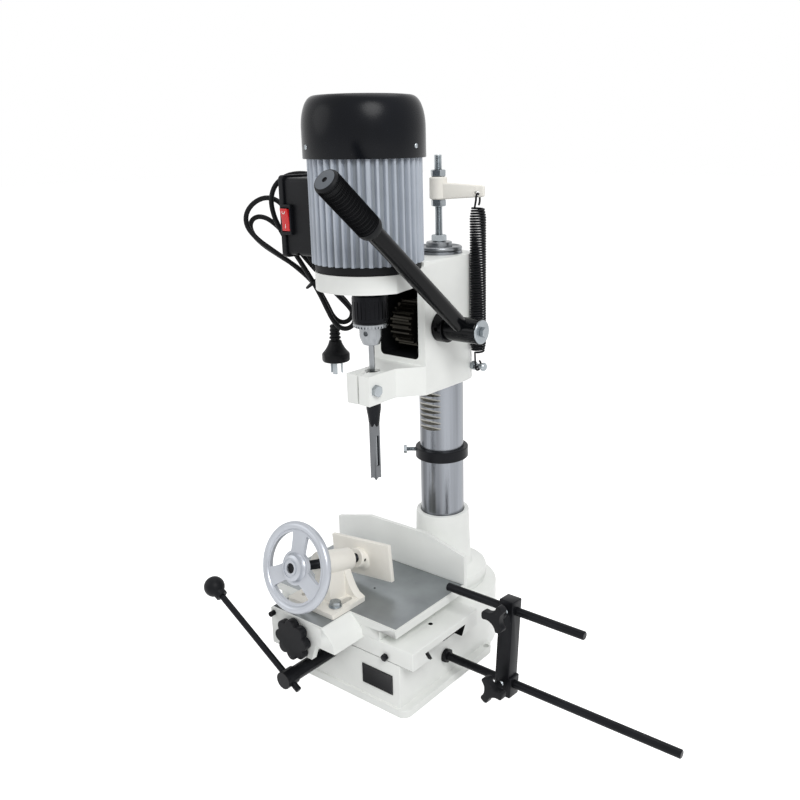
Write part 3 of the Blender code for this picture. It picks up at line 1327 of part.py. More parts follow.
def make_pull_lever(carrier):
    axis = Vector((0, LEVER_AXIS_Y, LEVER_AXIS_Z))
    across = (1, 0, 0)
    bolt_seat = HUB_END + GAP
    shaft = rod(PINION_SHAFT_RADIUS, PINION_SHAFT_LEFT, HUB_END - HUB_BORE_WALL, SMALL_ROUND)
    shaft = placed(shaft, (0, 0, 0), across)
    teeth = gear_outline(RACK_MODULE, PINION_TEETH, math.pi / PINION_TEETH)
    shaft = join(shaft, prism(teeth, "X", -PINION_HALF_WIDTH, PINION_HALF_WIDTH))
    thread = rod(END_BOLT_RADIUS + GAP, HUB_END - END_BOLT_DEPTH - GAP, HUB_END + OVERRUN, TINY_ROUND)
    shaft = cut(shaft, placed(thread, (0, 0, 0), across))
    finish_object("pinion_shaft", placed(shaft, axis), "dark_steel", carrier)
    bore = PINION_SHAFT_RADIUS + GAP
    collar = tube(SHAFT_COLLAR_RADIUS, bore, HEAD_HALF_WIDTH + GAP, SHAFT_COLLAR_END, SMALL_ROUND)
    finish_object("shaft_collar", placed(collar, axis, across), "black_paint", carrier)
    hub_low = SHAFT_COLLAR_END + GAP
    arm = placed(rod(HUB_RADIUS, hub_low, HUB_END, SMALL_ROUND), (0, 0, 0), across)
    lever = placed(
        rod(ARM_RADIUS, HUB_RADIUS - HUB_BORE_WALL, GRIP_END - GRIP_END_WALL - GAP, SMALL_ROUND),
        (ARM_X, 0, 0),
        ARM_DIRECTION,
    )
    arm = join(arm, lever)
    socket = rod(bore, hub_low - OVERRUN, HUB_END - HUB_BORE_WALL + GAP, SMALL_ROUND)
    bolt_hole = rod(END_BOLT_RADIUS + GAP, hub_low, HUB_END + OVERRUN, TINY_ROUND)
    arm = cut(arm, placed(socket, (0, 0, 0), across), placed(bolt_hole, (0, 0, 0), across))
    finish_object("lever_arm", placed(arm, axis), "black_paint", carrier)
    outer = GRIP_RADIUS
    grip = solid_profile(
        (ARM_RADIUS + GRIP_CORNER, GRIP_START),
        (outer, GRIP_START + GRIP_CORNER),
        (outer, GRIP_END - GRIP_CORNER),
        (outer - GRIP_CORNER, GRIP_END),
    )
    grip = cut(
        turned(grip, SMALL_ROUND),
        rod(ARM_RADIUS + GAP, GRIP_START - OVERRUN, GRIP_END - GRIP_END_WALL, SMALL_ROUND),
    )
    grip = placed(grip, axis + Vector((ARM_X, 0, 0)), ARM_DIRECTION)
    finish_object("lever_grip", grip, "rubber", carrier)
    washer = tube(
        WASHER_RADIUS, END_BOLT_RADIUS + GAP, bolt_seat, bolt_seat + WASHER_THICKNESS, SMALL_ROUND
    )
    finish_object("end_washer", placed(washer, axis, across), "zinc", carrier)
    head = bolt_seat + WASHER_THICKNESS + GAP
    bolt = rod(END_BOLT_RADIUS, HUB_END - END_BOLT_DEPTH, head + GAP, TINY_ROUND)
    bolt = join(bolt, hex_rod(END_BOLT_FLATS, head, head + END_BOLT_HEAD))
    finish_object("end_bolt", placed(bolt, axis, across), "zinc", carrier)


def make_travel_lever(carrier):
    axis = Vector((TRAVEL_X, 0, TRAVEL_Z))
    back = -TRAVEL_RACK_REAR
    front = -TRAVEL_RACK_FRONT
    teeth = gear_outline(TRAVEL_MODULE, TRAVEL_TEETH, math.pi / 2)
    shaft = placed(
        rod(TRAVEL_SHAFT_RADIUS, -TRAVEL_SHAFT_FRONT, front + GAP, SMALL_ROUND), (0, 0, 0), (0, 1, 0)
    )
    shaft = join(shaft, prism(teeth, "Y", front, back - GAP))
    hub = rod(
        TRAVEL_HUB_RADIUS,
        TRAVEL_HUB_Y - TRAVEL_HUB_LENGTH / 2,
        TRAVEL_HUB_Y + TRAVEL_HUB_LENGTH / 2,
        SMALL_ROUND,
    )
    shaft = join(shaft, placed(hub, (0, 0, 0), (0, 1, 0)))
    cross = rod(TRAVEL_ROD_RADIUS + GAP, -2 * TRAVEL_HUB_RADIUS, 2 * TRAVEL_HUB_RADIUS, TINY_ROUND)
    shaft = cut(shaft, placed(cross, (0, TRAVEL_HUB_Y, 0), TRAVEL_DIRECTION))
    finish_object("travel_shaft", placed(shaft, axis), "black_paint", carrier)
    place = axis + Vector((0, TRAVEL_HUB_Y, 0))
    lever = rod(TRAVEL_ROD_RADIUS, -TRAVEL_ROD_TAIL, TRAVEL_ROD_REACH, TINY_ROUND)
    finish_object("travel_lever", placed(lever, place, TRAVEL_DIRECTION), "black_paint", carrier)
    centre = TRAVEL_ROD_REACH + BALL_RADIUS - BALL_SOCKET_DEPTH / 2
    steps = 10
    ball = [(0, centre + BALL_RADIUS)]
    for i in range(1, steps):
        turn = math.pi / 2 - math.radians(145) * i / steps
        ball.append((BALL_RADIUS * math.cos(turn), centre + BALL_RADIUS * math.sin(turn)))
    neck = centre - BALL_RADIUS - BALL_NECK_LENGTH / 2
    ball += [(BALL_NECK_RADIUS, centre - BALL_RADIUS * 0.88), (BALL_NECK_RADIUS, neck), (0, neck)]
    socket = rod(TRAVEL_ROD_RADIUS + GAP, neck - OVERRUN, TRAVEL_ROD_REACH + GAP, TINY_ROUND)
    shape = cut(turned(ball, SMALL_ROUND), socket)
    finish_object("ball_knob", placed(shape, place, TRAVEL_DIRECTION), "black_plastic", carrier)


def make_saddle(carrier):
    low = BASE_STEP + GAP
    shape = block((SADDLE_LEFT, SADDLE_RIGHT), (-SADDLE_FRONT, -SADDLE_REAR), (low, SADDLE_TOP))
    slant = UPPER_DOVETAIL_SLANT
    dovetail_top = TABLE_BOTTOM - 2 * GAP
    dovetail = [
        (UPPER_DOVETAIL_LEFT + slant, SADDLE_TOP - OVERRUN),
        (UPPER_DOVETAIL_RIGHT - slant, SADDLE_TOP - OVERRUN),
        (UPPER_DOVETAIL_RIGHT - slant, SADDLE_TOP),
        (UPPER_DOVETAIL_RIGHT, dovetail_top),
        (UPPER_DOVETAIL_LEFT, dovetail_top),
        (UPPER_DOVETAIL_LEFT + slant, SADDLE_TOP),
    ]
    shape = join(shape, prism(dovetail, "Y", -SADDLE_FRONT, -SADDLE_REAR))
    slope = LOWER_DOVETAIL_SLANT
    gib_room = GIB_THICKNESS + GAP
    over_left = SADDLE_LEFT - OVERRUN
    over_right = SADDLE_RIGHT + OVERRUN
    room = 2 * GAP
    groove = [
        (-LOWER_DOVETAIL_FRONT + slope - room - gib_room, low - OVERRUN),
        (-LOWER_DOVETAIL_REAR - slope + room, low - OVERRUN),
        (-LOWER_DOVETAIL_REAR - slope + room, low),
        (-LOWER_DOVETAIL_REAR + room, BASE_TOP),
        (-LOWER_DOVETAIL_FRONT - room - gib_room, BASE_TOP),
        (-LOWER_DOVETAIL_FRONT + slope - room - gib_room, low),
    ]
    shape = cut(shape, prism(groove, "X", over_left, over_right))
    rack_seat = block(
        (TRAVEL_RACK_LEFT - GAP, TRAVEL_RACK_RIGHT + GAP),
        (-TRAVEL_RACK_FRONT - GAP, -TRAVEL_RACK_REAR + GAP),
        (low - OVERRUN, TRAVEL_RACK_TOP + GAP),
    )
    shape = cut(shape, rack_seat)
    screw_bore = rod(
        FEED_SCREW_RADIUS + GAP, -SADDLE_FRONT - OVERRUN, -FEED_SCREW_REAR + SADDLE_REAR / 3, TINY_ROUND
    )
    shape = cut(shape, placed(screw_bore, (FEED_X, 0, FEED_Z), (0, 1, 0)))
    gib_hole = rod(GIB_SCREW_RADIUS + GAP, -SADDLE_FRONT - OVERRUN, -LOWER_DOVETAIL_FRONT, TINY_ROUND)
    shape = cut(shape, placed(gib_hole, (GIB_SCREW_X, 0, GIB_SCREW_Z), (0, 1, 0)))
    finish_object("saddle_casting", shape, "casting_paint", carrier)

    front = -LOWER_DOVETAIL_FRONT - gib_room - GAP
    strip = [
        (front + slope, low),
        (front + slope + GIB_THICKNESS - GAP, low),
        (front + GIB_THICKNESS - GAP, BASE_TOP - GAP),
        (front, BASE_TOP - GAP),
    ]
    finish_object("saddle_gib", prism(strip, "X", SADDLE_LEFT, SADDLE_RIGHT), "dark_steel", carrier)
    face = -SADDLE_FRONT - GAP
    gib_face = front + slope * (BASE_TOP - GIB_SCREW_Z) / (BASE_TOP - low)
    screw = rod(GIB_SCREW_RADIUS, face - GAP, gib_face - GIB_SCREW_RADIUS, TINY_ROUND)
    screw = join(screw, hex_rod(GIB_SCREW_FLATS, face - GIB_SCREW_HEAD, face))
    finish_object(
        "gib_screw", placed(screw, (GIB_SCREW_X, 0, GIB_SCREW_Z), (0, 1, 0)), "black_paint", carrier
    )


def make_travel_rack(carrier):
    """Teeth that point down at the pinion, with a tooth on the pinion's centre line."""
    pitch = math.pi * TRAVEL_MODULE
    pitch_line = TRAVEL_Z + TRAVEL_RADIUS
    tip = pitch_line - TRAVEL_MODULE * 0.75
    root = pitch_line + TRAVEL_MODULE * 1.15
    count = int((TRAVEL_RACK_RIGHT - TRAVEL_RACK_LEFT) / pitch)
    first = TRAVEL_X - pitch * int((TRAVEL_X - TRAVEL_RACK_LEFT - pitch / 2) / pitch)
    outline = [
        (TRAVEL_RACK_LEFT, root),
        (TRAVEL_RACK_LEFT, TRAVEL_RACK_TOP),
        (TRAVEL_RACK_RIGHT, TRAVEL_RACK_TOP),
    ]
    outline.append((TRAVEL_RACK_RIGHT, root))
    teeth = []
    for i in range(count):
        middle = first + i * pitch
        if middle + pitch / 2 > TRAVEL_RACK_RIGHT:
            break
        teeth += [(middle - pitch * 0.34, root), (middle - pitch * 0.13, tip)]
        teeth += [(middle + pitch * 0.13, tip), (middle + pitch * 0.34, root)]
    outline += list(reversed(teeth))
    shape = prism(outline, "Y", -TRAVEL_RACK_FRONT, -TRAVEL_RACK_REAR)
    finish_object("travel_rack", shape, "dark_steel", carrier)


def make_table(carrier):
    shape = block((TABLE_LEFT, TABLE_RIGHT), (-TABLE_FRONT, -TABLE_REAR), (TABLE_BOTTOM, TABLE_TOP))
    slant = UPPER_DOVETAIL_SLANT
    low = SADDLE_TOP + GAP
    outer = TABLE_SKIRT_OUTER
    left_skirt = [
        (UPPER_DOVETAIL_LEFT - outer, low),
        (UPPER_DOVETAIL_LEFT + slant - GAP, low),
        (UPPER_DOVETAIL_LEFT - GAP, TABLE_BOTTOM - GAP),
        (UPPER_DOVETAIL_LEFT - GAP, TABLE_BOTTOM + GAP),
        (UPPER_DOVETAIL_LEFT - outer, TABLE_BOTTOM + GAP),
    ]
    right_skirt = [
        (UPPER_DOVETAIL_RIGHT - slant + GAP, low),
        (UPPER_DOVETAIL_RIGHT + outer, low),
        (UPPER_DOVETAIL_RIGHT + outer, TABLE_BOTTOM + GAP),
        (UPPER_DOVETAIL_RIGHT + GAP, TABLE_BOTTOM + GAP),
        (UPPER_DOVETAIL_RIGHT + GAP, TABLE_BOTTOM - GAP),
    ]
    for skirt in (left_skirt, right_skirt):
        shape = join(shape, prism(skirt, "Y", -TABLE_FRONT, -SADDLE_REAR))
    outside = [
        (APRON_LEFT, TABLE_TOP),
        (APRON_LEFT, APRON_DEEP_BOTTOM),
        (APRON_DEEP_RIGHT, APRON_DEEP_BOTTOM),
        (APRON_DEEP_RIGHT + APRON_WALL, APRON_BOTTOM),
        (APRON_RIGHT + APRON_FLARE, APRON_BOTTOM),
        (APRON_RIGHT, TABLE_TOP),
    ]
    apron = prism(outside, "Y", -APRON_FRONT, -SADDLE_FRONT - OVERRUN)
    hollow = [
        (APRON_LEFT + APRON_WALL, TABLE_TOP - APRON_WALL),
        (APRON_LEFT + APRON_WALL, APRON_DEEP_BOTTOM - OVERRUN),
        (APRON_DEEP_RIGHT, APRON_DEEP_BOTTOM - OVERRUN),
        (APRON_RIGHT + APRON_FLARE - APRON_WALL, APRON_BOTTOM - OVERRUN),
        (APRON_RIGHT - APRON_WALL, TABLE_TOP - APRON_WALL),
    ]
    apron = cut(apron, prism(hollow, "Y", -APRON_FRONT + APRON_WALL, -SADDLE_FRONT))
    shelf = block(
        (APRON_LEFT, APRON_RIGHT),
        (-APRON_FRONT + OVERRUN, -TABLE_FRONT + OVERRUN),
        (TABLE_BOTTOM, TABLE_TOP),
    )
    shape = join(shape, join(apron, shelf))
    screw_bore = rod(
        FEED_SCREW_RADIUS + GAP, -APRON_FRONT - OVERRUN, -APRON_FRONT + APRON_WALL + OVERRUN, TINY_ROUND
    )
    shape = cut(shape, placed(screw_bore, (FEED_X, 0, FEED_Z), (0, 1, 0)))
    hole = rod(
        BRACKET_BOLT_RADIUS + GAP, TABLE_TOP - BRACKET_BOLT_DEPTH - GAP, TABLE_TOP + OVERRUN, TINY_ROUND
    )
    shape = cut(shape, placed(hole, (BRACKET_RIGHT - BRACKET_SLOT_INSET, BRACKET_BOLT_Y, 0)))
    finish_object("table_casting", shape, "casting_paint", carrier)


def make_fence(carrier):
    front = -TABLE_REAR + GAP
    outline = [
        (TABLE_LEFT, TABLE_BOTTOM),
        (TABLE_RIGHT, TABLE_BOTTOM),
        (TABLE_RIGHT, FENCE_TOP - FENCE_CHAMFER_DROP),
        (TABLE_RIGHT - FENCE_CHAMFER_RUN, FENCE_TOP),
        (TABLE_LEFT + FENCE_CHAMFER_RUN, FENCE_TOP),
        (TABLE_LEFT, FENCE_TOP - FENCE_CHAMFER_DROP),
    ]
    shape = prism(outline, "Y", front, front + FENCE_THICKNESS)
    seat = block(
        (TABLE_LEFT - OVERRUN, TABLE_RIGHT + OVERRUN),
        (front - OVERRUN, front + FENCE_SEAT_DEPTH),
        (TABLE_BOTTOM - OVERRUN, TABLE_TOP + GAP),
    )
    finish_object("fence", cut(shape, seat), "casting_paint", carrier)


def make_bracket_bolt(carrier):
    seat = TABLE_TOP + 2 * GAP + BRACKET_THICKNESS
    washer_top = seat + BRACKET_BOLT_WASHER_THICKNESS
    bolt = rod(BRACKET_BOLT_RADIUS, TABLE_TOP - BRACKET_BOLT_DEPTH, washer_top, TINY_ROUND)
    bolt = join(
        bolt,
        rod(BRACKET_BOLT_WASHER, seat, washer_top, SMALL_ROUND),
        hex_rod(BRACKET_BOLT_FLATS, washer_top - GAP, washer_top + BRACKET_BOLT_HEAD),
    )
    place = (BRACKET_RIGHT - BRACKET_SLOT_INSET, BRACKET_BOLT_Y, 0)
    finish_object("bracket_bolt", placed(bolt, place), "zinc", carrier)


def make_clamp_bracket(carrier):
    low = TABLE_TOP + GAP
    plate = block(
        (BRACKET_LEFT, BRACKET_RIGHT), (-BRACKET_FRONT, -BRACKET_REAR), (low, low + BRACKET_THICKNESS)
    )
    half = UPRIGHT_HALF_WIDTH
    crown = WHEEL_Z - math.sin(CLAMP_SLOPE) * BARREL_END
    upright = block(
        (CLAMP_X - half, CLAMP_X + half), (-UPRIGHT_FRONT, -UPRIGHT_REAR), (low + GAP, crown)
    )
    barrel = placed(
        rod(BARREL_RADIUS, BARREL_START, BARREL_END, SMALL_ROUND), CLAMP_ORIGIN, CLAMP_DIRECTION
    )
    shape = join(plate, upright, barrel)
    bore = rod(
        CLAMP_SCREW_RADIUS + GAP,
        BARREL_START - UPRIGHT_HALF_WIDTH,
        BARREL_END + UPRIGHT_HALF_WIDTH,
        SMALL_ROUND,
    )
    shape = cut(shape, placed(bore, CLAMP_ORIGIN, CLAMP_DIRECTION))
    half_slot = BRACKET_SLOT_WIDTH / 2
    for x in (BRACKET_RIGHT - BRACKET_SLOT_INSET, BRACKET_LEFT + BRACKET_SLOT_INSET):
        slot = rounded_outline(
            (x - half_slot, -BRACKET_SLOT_FRONT), (x + half_slot, -BRACKET_SLOT_REAR), half_slot * 0.98
        )
        shape = cut(shape, prism(slot, "Z", low - OVERRUN, low + BRACKET_THICKNESS + OVERRUN))
    finish_object("clamp_bracket", shape, "cream_paint", carrier)


def make_clamp_pad(carrier):
    centre = CLAMP_ORIGIN + CLAMP_DIRECTION * (PAD_BOSS_END - PAD_THICKNESS / 2)
    corners = [(-1, -1), (1, -1), (1, 1), (-1, 1)]
    outline = [(a * PAD_HALF_WIDTH, b * PAD_HALF_HEIGHT) for a, b in corners]
    plate = prism(outline, "Y", -PAD_THICKNESS / 2, PAD_THICKNESS / 2)
    turn = Matrix.Translation(centre) @ Matrix.Rotation(-PAD_TILT, 4, "Y")
    bmesh.ops.transform(plate, matrix=turn, verts=plate.verts)
    boss = placed(
        rod(PAD_BOSS_RADIUS, PAD_BOSS_START, PAD_BOSS_END - PAD_THICKNESS / 2, SMALL_ROUND),
        CLAMP_ORIGIN,
        CLAMP_DIRECTION,
    )
    bore = rod(CLAMP_SCREW_RADIUS + GAP, PAD_BOSS_START - OVERRUN, CLAMP_SCREW_END + GAP, SMALL_ROUND)
    shape = cut(join(plate, boss), placed(bore, CLAMP_ORIGIN, CLAMP_DIRECTION))
    finish_object("clamp_pad", shape, "cream_paint", carrier)


def make_handwheel(carrier):
    screw = rod(CLAMP_SCREW_RADIUS, -WHEEL_HUB_HALF + GAP, CLAMP_SCREW_END, SMALL_ROUND)
    finish_object("clamp_screw", placed(screw, CLAMP_ORIGIN, CLAMP_DIRECTION), "dark_steel", carrier)
    middle = WHEEL_RADIUS - WHEEL_RIM
    rim = [
        (middle + WHEEL_RIM * math.cos(math.tau * i / 8), WHEEL_RIM * math.sin(math.tau * i / 8))
        for i in range(8)
    ]
    wheel = turned(rim, ROUND, closed_ring=True)
    wheel = join(wheel, rod(WHEEL_HUB_RADIUS, -WHEEL_HUB_HALF, WHEEL_HUB_HALF, SMALL_ROUND))
    for i in range(SPOKE_COUNT):
        spoke = block(
            (WHEEL_HUB_RADIUS / 2, middle),
            (-SPOKE_WIDTH / 2, SPOKE_WIDTH / 2),
            (-SPOKE_THICKNESS / 2, SPOKE_THICKNESS / 2),
        )
        turn = Matrix.Rotation(math.tau * i / SPOKE_COUNT + math.pi / 2, 4, "Z")
        bmesh.ops.transform(spoke, matrix=turn, verts=spoke.verts)
        wheel = join(wheel, spoke)
    wheel = cut(
        wheel,
        rod(CLAMP_SCREW_RADIUS + GAP, -WHEEL_HUB_HALF - OVERRUN, WHEEL_HUB_HALF + OVERRUN, SMALL_ROUND),
    )
    turn = Matrix.Translation(CLAMP_ORIGIN) @ Matrix.Rotation(-math.pi / 2 - CLAMP_SLOPE, 4, "X")
    bmesh.ops.transform(wheel, matrix=turn, verts=wheel.verts)
    finish_object("handwheel", wheel, "wheel_paint", carrier)


def make_feed_screw(carrier):
    axis = (FEED_X, 0, FEED_Z)
    inner = -APRON_FRONT + APRON_WALL + GAP
    screw = rod(FEED_SCREW_RADIUS, -KNOB_FRONT + KNOB_SOCKET / 2, -FEED_SCREW_REAR, TINY_ROUND)
    screw = join(screw, rod(FEED_COLLAR_RADIUS, inner, inner + FEED_COLLAR_WIDTH, SMALL_ROUND))
    finish_object("feed_screw", placed(screw, axis, (0, 1, 0)), "dark_steel", carrier)
    knob = prism(lobed_outline(KNOB_RADIUS, KNOB_ROOT_SHARE, KNOB_LOBES), "Z", -KNOB_FRONT, -KNOB_BACK)
    knob = join(knob, rod(KNOB_HUB_RADIUS, -KNOB_BACK - GAP, -APRON_FRONT - GAP, SMALL_ROUND))
    socket = rod(
        FEED_SCREW_RADIUS + GAP, -KNOB_FRONT + KNOB_SOCKET / 2 - GAP, -APRON_FRONT + OVERRUN, TINY_ROUND
    )
    finish_object("feed_knob", placed(cut(knob, socket), axis, (0, 1, 0)), "black_plastic", carrier)


def leaned(shape):
    """Turns the upright stop bar's pieces about the lower rod by the bar's lean."""
    turn = Matrix.Translation(STOP_PIVOT) @ STOP_LEAN.to_4x4() @ Matrix.Translation(-STOP_PIVOT)
    bmesh.ops.transform(shape, matrix=turn, verts=shape.verts)
    return shape


def make_lower_stop_rod(carrier):
    start = BASE_HALF_WIDTH - STOP_ROD_DEPTH
    place = (0, STOP_ROD_Y, STOP_ROD_Z)
    finish_object(
        "stop_rod_lower",
        placed(rod(STOP_ROD_RADIUS, start, STOP_ROD_END, TINY_ROUND), place, (1, 0, 0)),
        "black_paint",
        carrier,
    )
    seat = BASE_HALF_WIDTH + GAP
    nut = hex_rod(ROD_NUT_FLATS, seat, seat + ROD_NUT_THICKNESS)
    nut = cut(
        nut, rod(STOP_ROD_RADIUS + GAP, seat - OVERRUN, seat + ROD_NUT_THICKNESS + OVERRUN, TINY_ROUND)
    )
    finish_object("rod_lock_nut", placed(nut, place, (1, 0, 0)), "black_paint")


def make_stop_bar(carrier, rod_carrier):
    half = STOP_BAR_WIDTH / 2
    low = STOP_ROD_Z - STOP_BAR_BELOW
    high = STOP_ROD_Z + STOP_ROD_SPACING + STOP_BAR_ABOVE
    x_range = (STOP_BAR_X - half, STOP_BAR_X + half)
    y_range = (STOP_ROD_Y - half, STOP_ROD_Y + half)
    bar = block(x_range, y_range, (low, high))
    inside = half - STOP_BAR_WALL
    bar = cut(
        bar,
        block(
            (STOP_BAR_X - inside, STOP_BAR_X + inside),
            (STOP_ROD_Y - inside, STOP_ROD_Y + inside),
            (low - OVERRUN, high - STOP_BAR_WALL),
        ),
    )
    sleeve = block(
        (x_range[0], x_range[1] + STOP_BLOCK_EXTRA), y_range, (low - GAP, low + STOP_BLOCK_HEIGHT)
    )
    bar = join(bar, sleeve)
    for height in (STOP_ROD_Z, STOP_ROD_Z + STOP_ROD_SPACING):
        rod_hole = rod(
            STOP_ROD_RADIUS + GAP, x_range[0] - OVERRUN, x_range[1] + 2 * OVERRUN, TINY_ROUND
        )
        screw_hole = rod(WING_SCREW_RADIUS + GAP, -half - OVERRUN, 0, TINY_ROUND)
        bar = cut(
            bar,
            placed(rod_hole, (0, STOP_ROD_Y, height), (1, 0, 0)),
            placed(screw_hole, (STOP_BAR_X, STOP_ROD_Y, height), (0, 1, 0)),
        )
    finish_object("stop_bar", leaned(bar), "black_paint", carrier)
    upper = rod(STOP_ROD_RADIUS, UPPER_ROD_START, UPPER_ROD_END, TINY_ROUND)
    upper = placed(upper, (0, STOP_ROD_Y, STOP_ROD_Z + STOP_ROD_SPACING), (1, 0, 0))
    finish_object("stop_rod_upper", leaned(upper), "black_paint", rod_carrier)


def make_wing_knob(name, height, carrier):
    half = STOP_BAR_WIDTH / 2
    near = STOP_ROD_RADIUS + GAP
    knob = prism(
        lobed_outline(WING_KNOB_RADIUS, WING_KNOB_ROOT_SHARE, WING_KNOB_LOBES, 8),
        "Z",
        0,
        WING_KNOB_THICKNESS,
    )
    far = half + WING_KNOB_STANDOFF
    bmesh.ops.translate(knob, verts=knob.verts, vec=(0, 0, far))
    neck = rod(WING_KNOB_HUB_RADIUS, half + WING_KNOB_STANDOFF / 3, far + GAP, TINY_ROUND)
    stem = rod(WING_SCREW_RADIUS, near, far, TINY_ROUND)
    shape = join(knob, neck, stem)
    shape = placed(shape, (STOP_BAR_X, STOP_ROD_Y, height), (0, -1, 0))
    finish_object(name, leaned(shape), "black_plastic", carrier)


def wing_place(height):
    offset = Vector((0, 0, height - STOP_ROD_Z))
    return STOP_PIVOT + STOP_LEAN @ offset


def make_cord_tie(carrier):
    """A closed tie round the hank's waist, square to the strands."""
    lean = (UPPER_LOBE_LEAN + LOWER_LOBE_LEAN) / 2
    centre = hank_point(
        HANK_WAIST[0], HANK_FRONT_LAYER + CORD_LAYER_STEP * CORD_LOOPS / 2, HANK_WAIST[1]
    )
    along = hank_point(-math.sin(lean), 0, math.cos(lean))
    across = hank_point(0, 1, 0)
    sideways = along.cross(across)
    half_layer = CORD_LAYER_STEP * CORD_LOOPS / 2 + CORD_RADIUS * 2.3 + TIE_RADIUS
    half_side = HANK_WAIST_HALF_WIDTH + CORD_RADIUS * 3.2 + TIE_RADIUS
    shape = bmesh.new()
    rings = []
    steps = 20
    for i in range(steps):
        turn = math.tau * i / steps
        flat = (abs(math.cos(turn)) ** 4 + abs(math.sin(turn)) ** 4) ** 0.25
        radial = (sideways * math.cos(turn) * half_side + across * math.sin(turn) * half_layer) / flat
        outward = radial.normalized()
        ring = []
        for k in range(6):
            bend = math.tau * k / 6
            offset = outward * math.cos(bend) * TIE_RADIUS + along * math.sin(bend) * TIE_RADIUS
            ring.append(shape.verts.new(centre + radial + offset))
        rings.append(ring)
    for i in range(steps):
        first, second = rings[i], rings[(i + 1) % steps]
        for k in range(6):
            j = (k + 1) % 6
            shape.faces.new((first[k], first[j], second[j], second[k]))
    finish_object("cord_tie", shape, "black_plastic", carrier)


def build():
    clear_scene()
    make_base_casting()
    make_nameplate()
    make_column_socket()
    make_column()
    make_column_top()
    make_spring_arm()
    make_return_spring()
    make_lower_stop_rod(make_body("stop_rod_carrier", (BASE_HALF_WIDTH, STOP_ROD_Y, STOP_ROD_Z)))
    make_depth_collar(make_body("collar_carrier", (0, 0, COLLAR_BASE)))

    head = make_body("head_carrier", (0, 0, HEAD_BOTTOM))
    make_head_casting(head)
    make_head_bolts(head)
    make_motor(head)
    make_fan_cover(head)
    make_hollow_chisel(head)
    make_switch_box(head)
    make_cord(head)
    make_cord_tie(head)
    make_plug(head)
    make_spindle(make_body("spindle_carrier", (0, SPINDLE_Y, SHAFT_BOTTOM)))
    rocker_place = (
        BEZEL_CENTRE_X, BOX_FRONT - BOX_LID_STEP - BEZEL_PROUD, (BEZEL_BOTTOM + BEZEL_TOP) / 2
    )
    make_rocker(make_body("rocker_carrier", rocker_place))
    make_pull_lever(make_body("lever_carrier", (0, LEVER_AXIS_Y, LEVER_AXIS_Z)))

    make_travel_lever(make_body("travel_carrier", (TRAVEL_X, TRAVEL_HUB_Y, TRAVEL_Z)))
    saddle = make_body("saddle_carrier", (0, -SADDLE_FRONT, BASE_STEP))
    make_saddle(saddle)
    make_travel_rack(saddle)
    table = make_body("table_carrier", (0, -TABLE_FRONT, SADDLE_TOP))
    make_table(table)
    make_fence(table)
    make_bracket_bolt(table)
    make_feed_screw(make_body("feed_carrier", (FEED_X, -APRON_FRONT, FEED_Z)))
    make_clamp_bracket(make_body("bracket_carrier", (CLAMP_X, -BRACKET_REAR, TABLE_TOP)))
    make_clamp_pad(make_body("pad_carrier", CLAMP_ORIGIN))
    make_handwheel(make_body("wheel_carrier", CLAMP_ORIGIN))

    upper_height = STOP_ROD_Z + STOP_ROD_SPACING
    make_stop_bar(
        make_body("stop_carrier", STOP_PIVOT), make_body("upper_rod_carrier", wing_place(upper_height))
    )
    make_wing_knob("wing_knob_lower", STOP_ROD_Z, make_body("lower_knob_carrier", STOP_PIVOT))
    make_wing_knob(
        "wing_knob_upper", upper_height, make_body("upper_knob_carrier", wing_place(upper_height))
    )


build()
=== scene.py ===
"""Benchtop mortiser dressed for its picture: a Blender add-on that is run as a script."""

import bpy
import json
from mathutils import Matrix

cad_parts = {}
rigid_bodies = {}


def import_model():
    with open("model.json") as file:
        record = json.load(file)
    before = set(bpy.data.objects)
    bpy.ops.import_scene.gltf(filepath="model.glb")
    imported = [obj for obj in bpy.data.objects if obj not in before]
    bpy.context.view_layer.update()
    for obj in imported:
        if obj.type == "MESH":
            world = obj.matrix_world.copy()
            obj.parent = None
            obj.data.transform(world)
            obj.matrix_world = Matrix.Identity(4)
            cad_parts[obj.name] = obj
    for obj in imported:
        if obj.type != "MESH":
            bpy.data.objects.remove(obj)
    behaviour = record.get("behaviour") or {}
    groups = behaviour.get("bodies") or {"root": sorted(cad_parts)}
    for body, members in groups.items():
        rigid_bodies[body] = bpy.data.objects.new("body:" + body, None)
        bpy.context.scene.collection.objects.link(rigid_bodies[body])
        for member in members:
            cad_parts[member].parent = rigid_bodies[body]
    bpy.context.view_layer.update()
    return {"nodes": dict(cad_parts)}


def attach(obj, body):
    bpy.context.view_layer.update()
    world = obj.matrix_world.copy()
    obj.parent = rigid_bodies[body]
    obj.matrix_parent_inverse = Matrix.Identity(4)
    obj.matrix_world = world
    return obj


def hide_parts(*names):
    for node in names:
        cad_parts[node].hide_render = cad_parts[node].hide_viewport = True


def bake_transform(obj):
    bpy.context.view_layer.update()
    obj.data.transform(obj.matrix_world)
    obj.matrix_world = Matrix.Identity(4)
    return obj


bl_info = {
    "name": "Benchtop mortiser",
    "version": (1, 0, 0),
    "blender": (4, 5, 0),
    "location": "View3D > Sidebar > Mortiser",
    "description": "Models a benchtop mortiser piece by piece around its packed solids",
    "category": "Object",
}

import json
import math

import bpy
from mathutils import Matrix, Vector

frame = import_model()

MM = 0.001
X_AXIS = Vector((1, 0, 0))
Y_AXIS = Vector((0, 1, 0))
Z_AXIS = Vector((0, 0, 1))

# The way the photograph looks, in degrees from Y, and the side of its picture in pixels
PHOTO_HEADING = 37.8
PHOTO_SIDE = 800

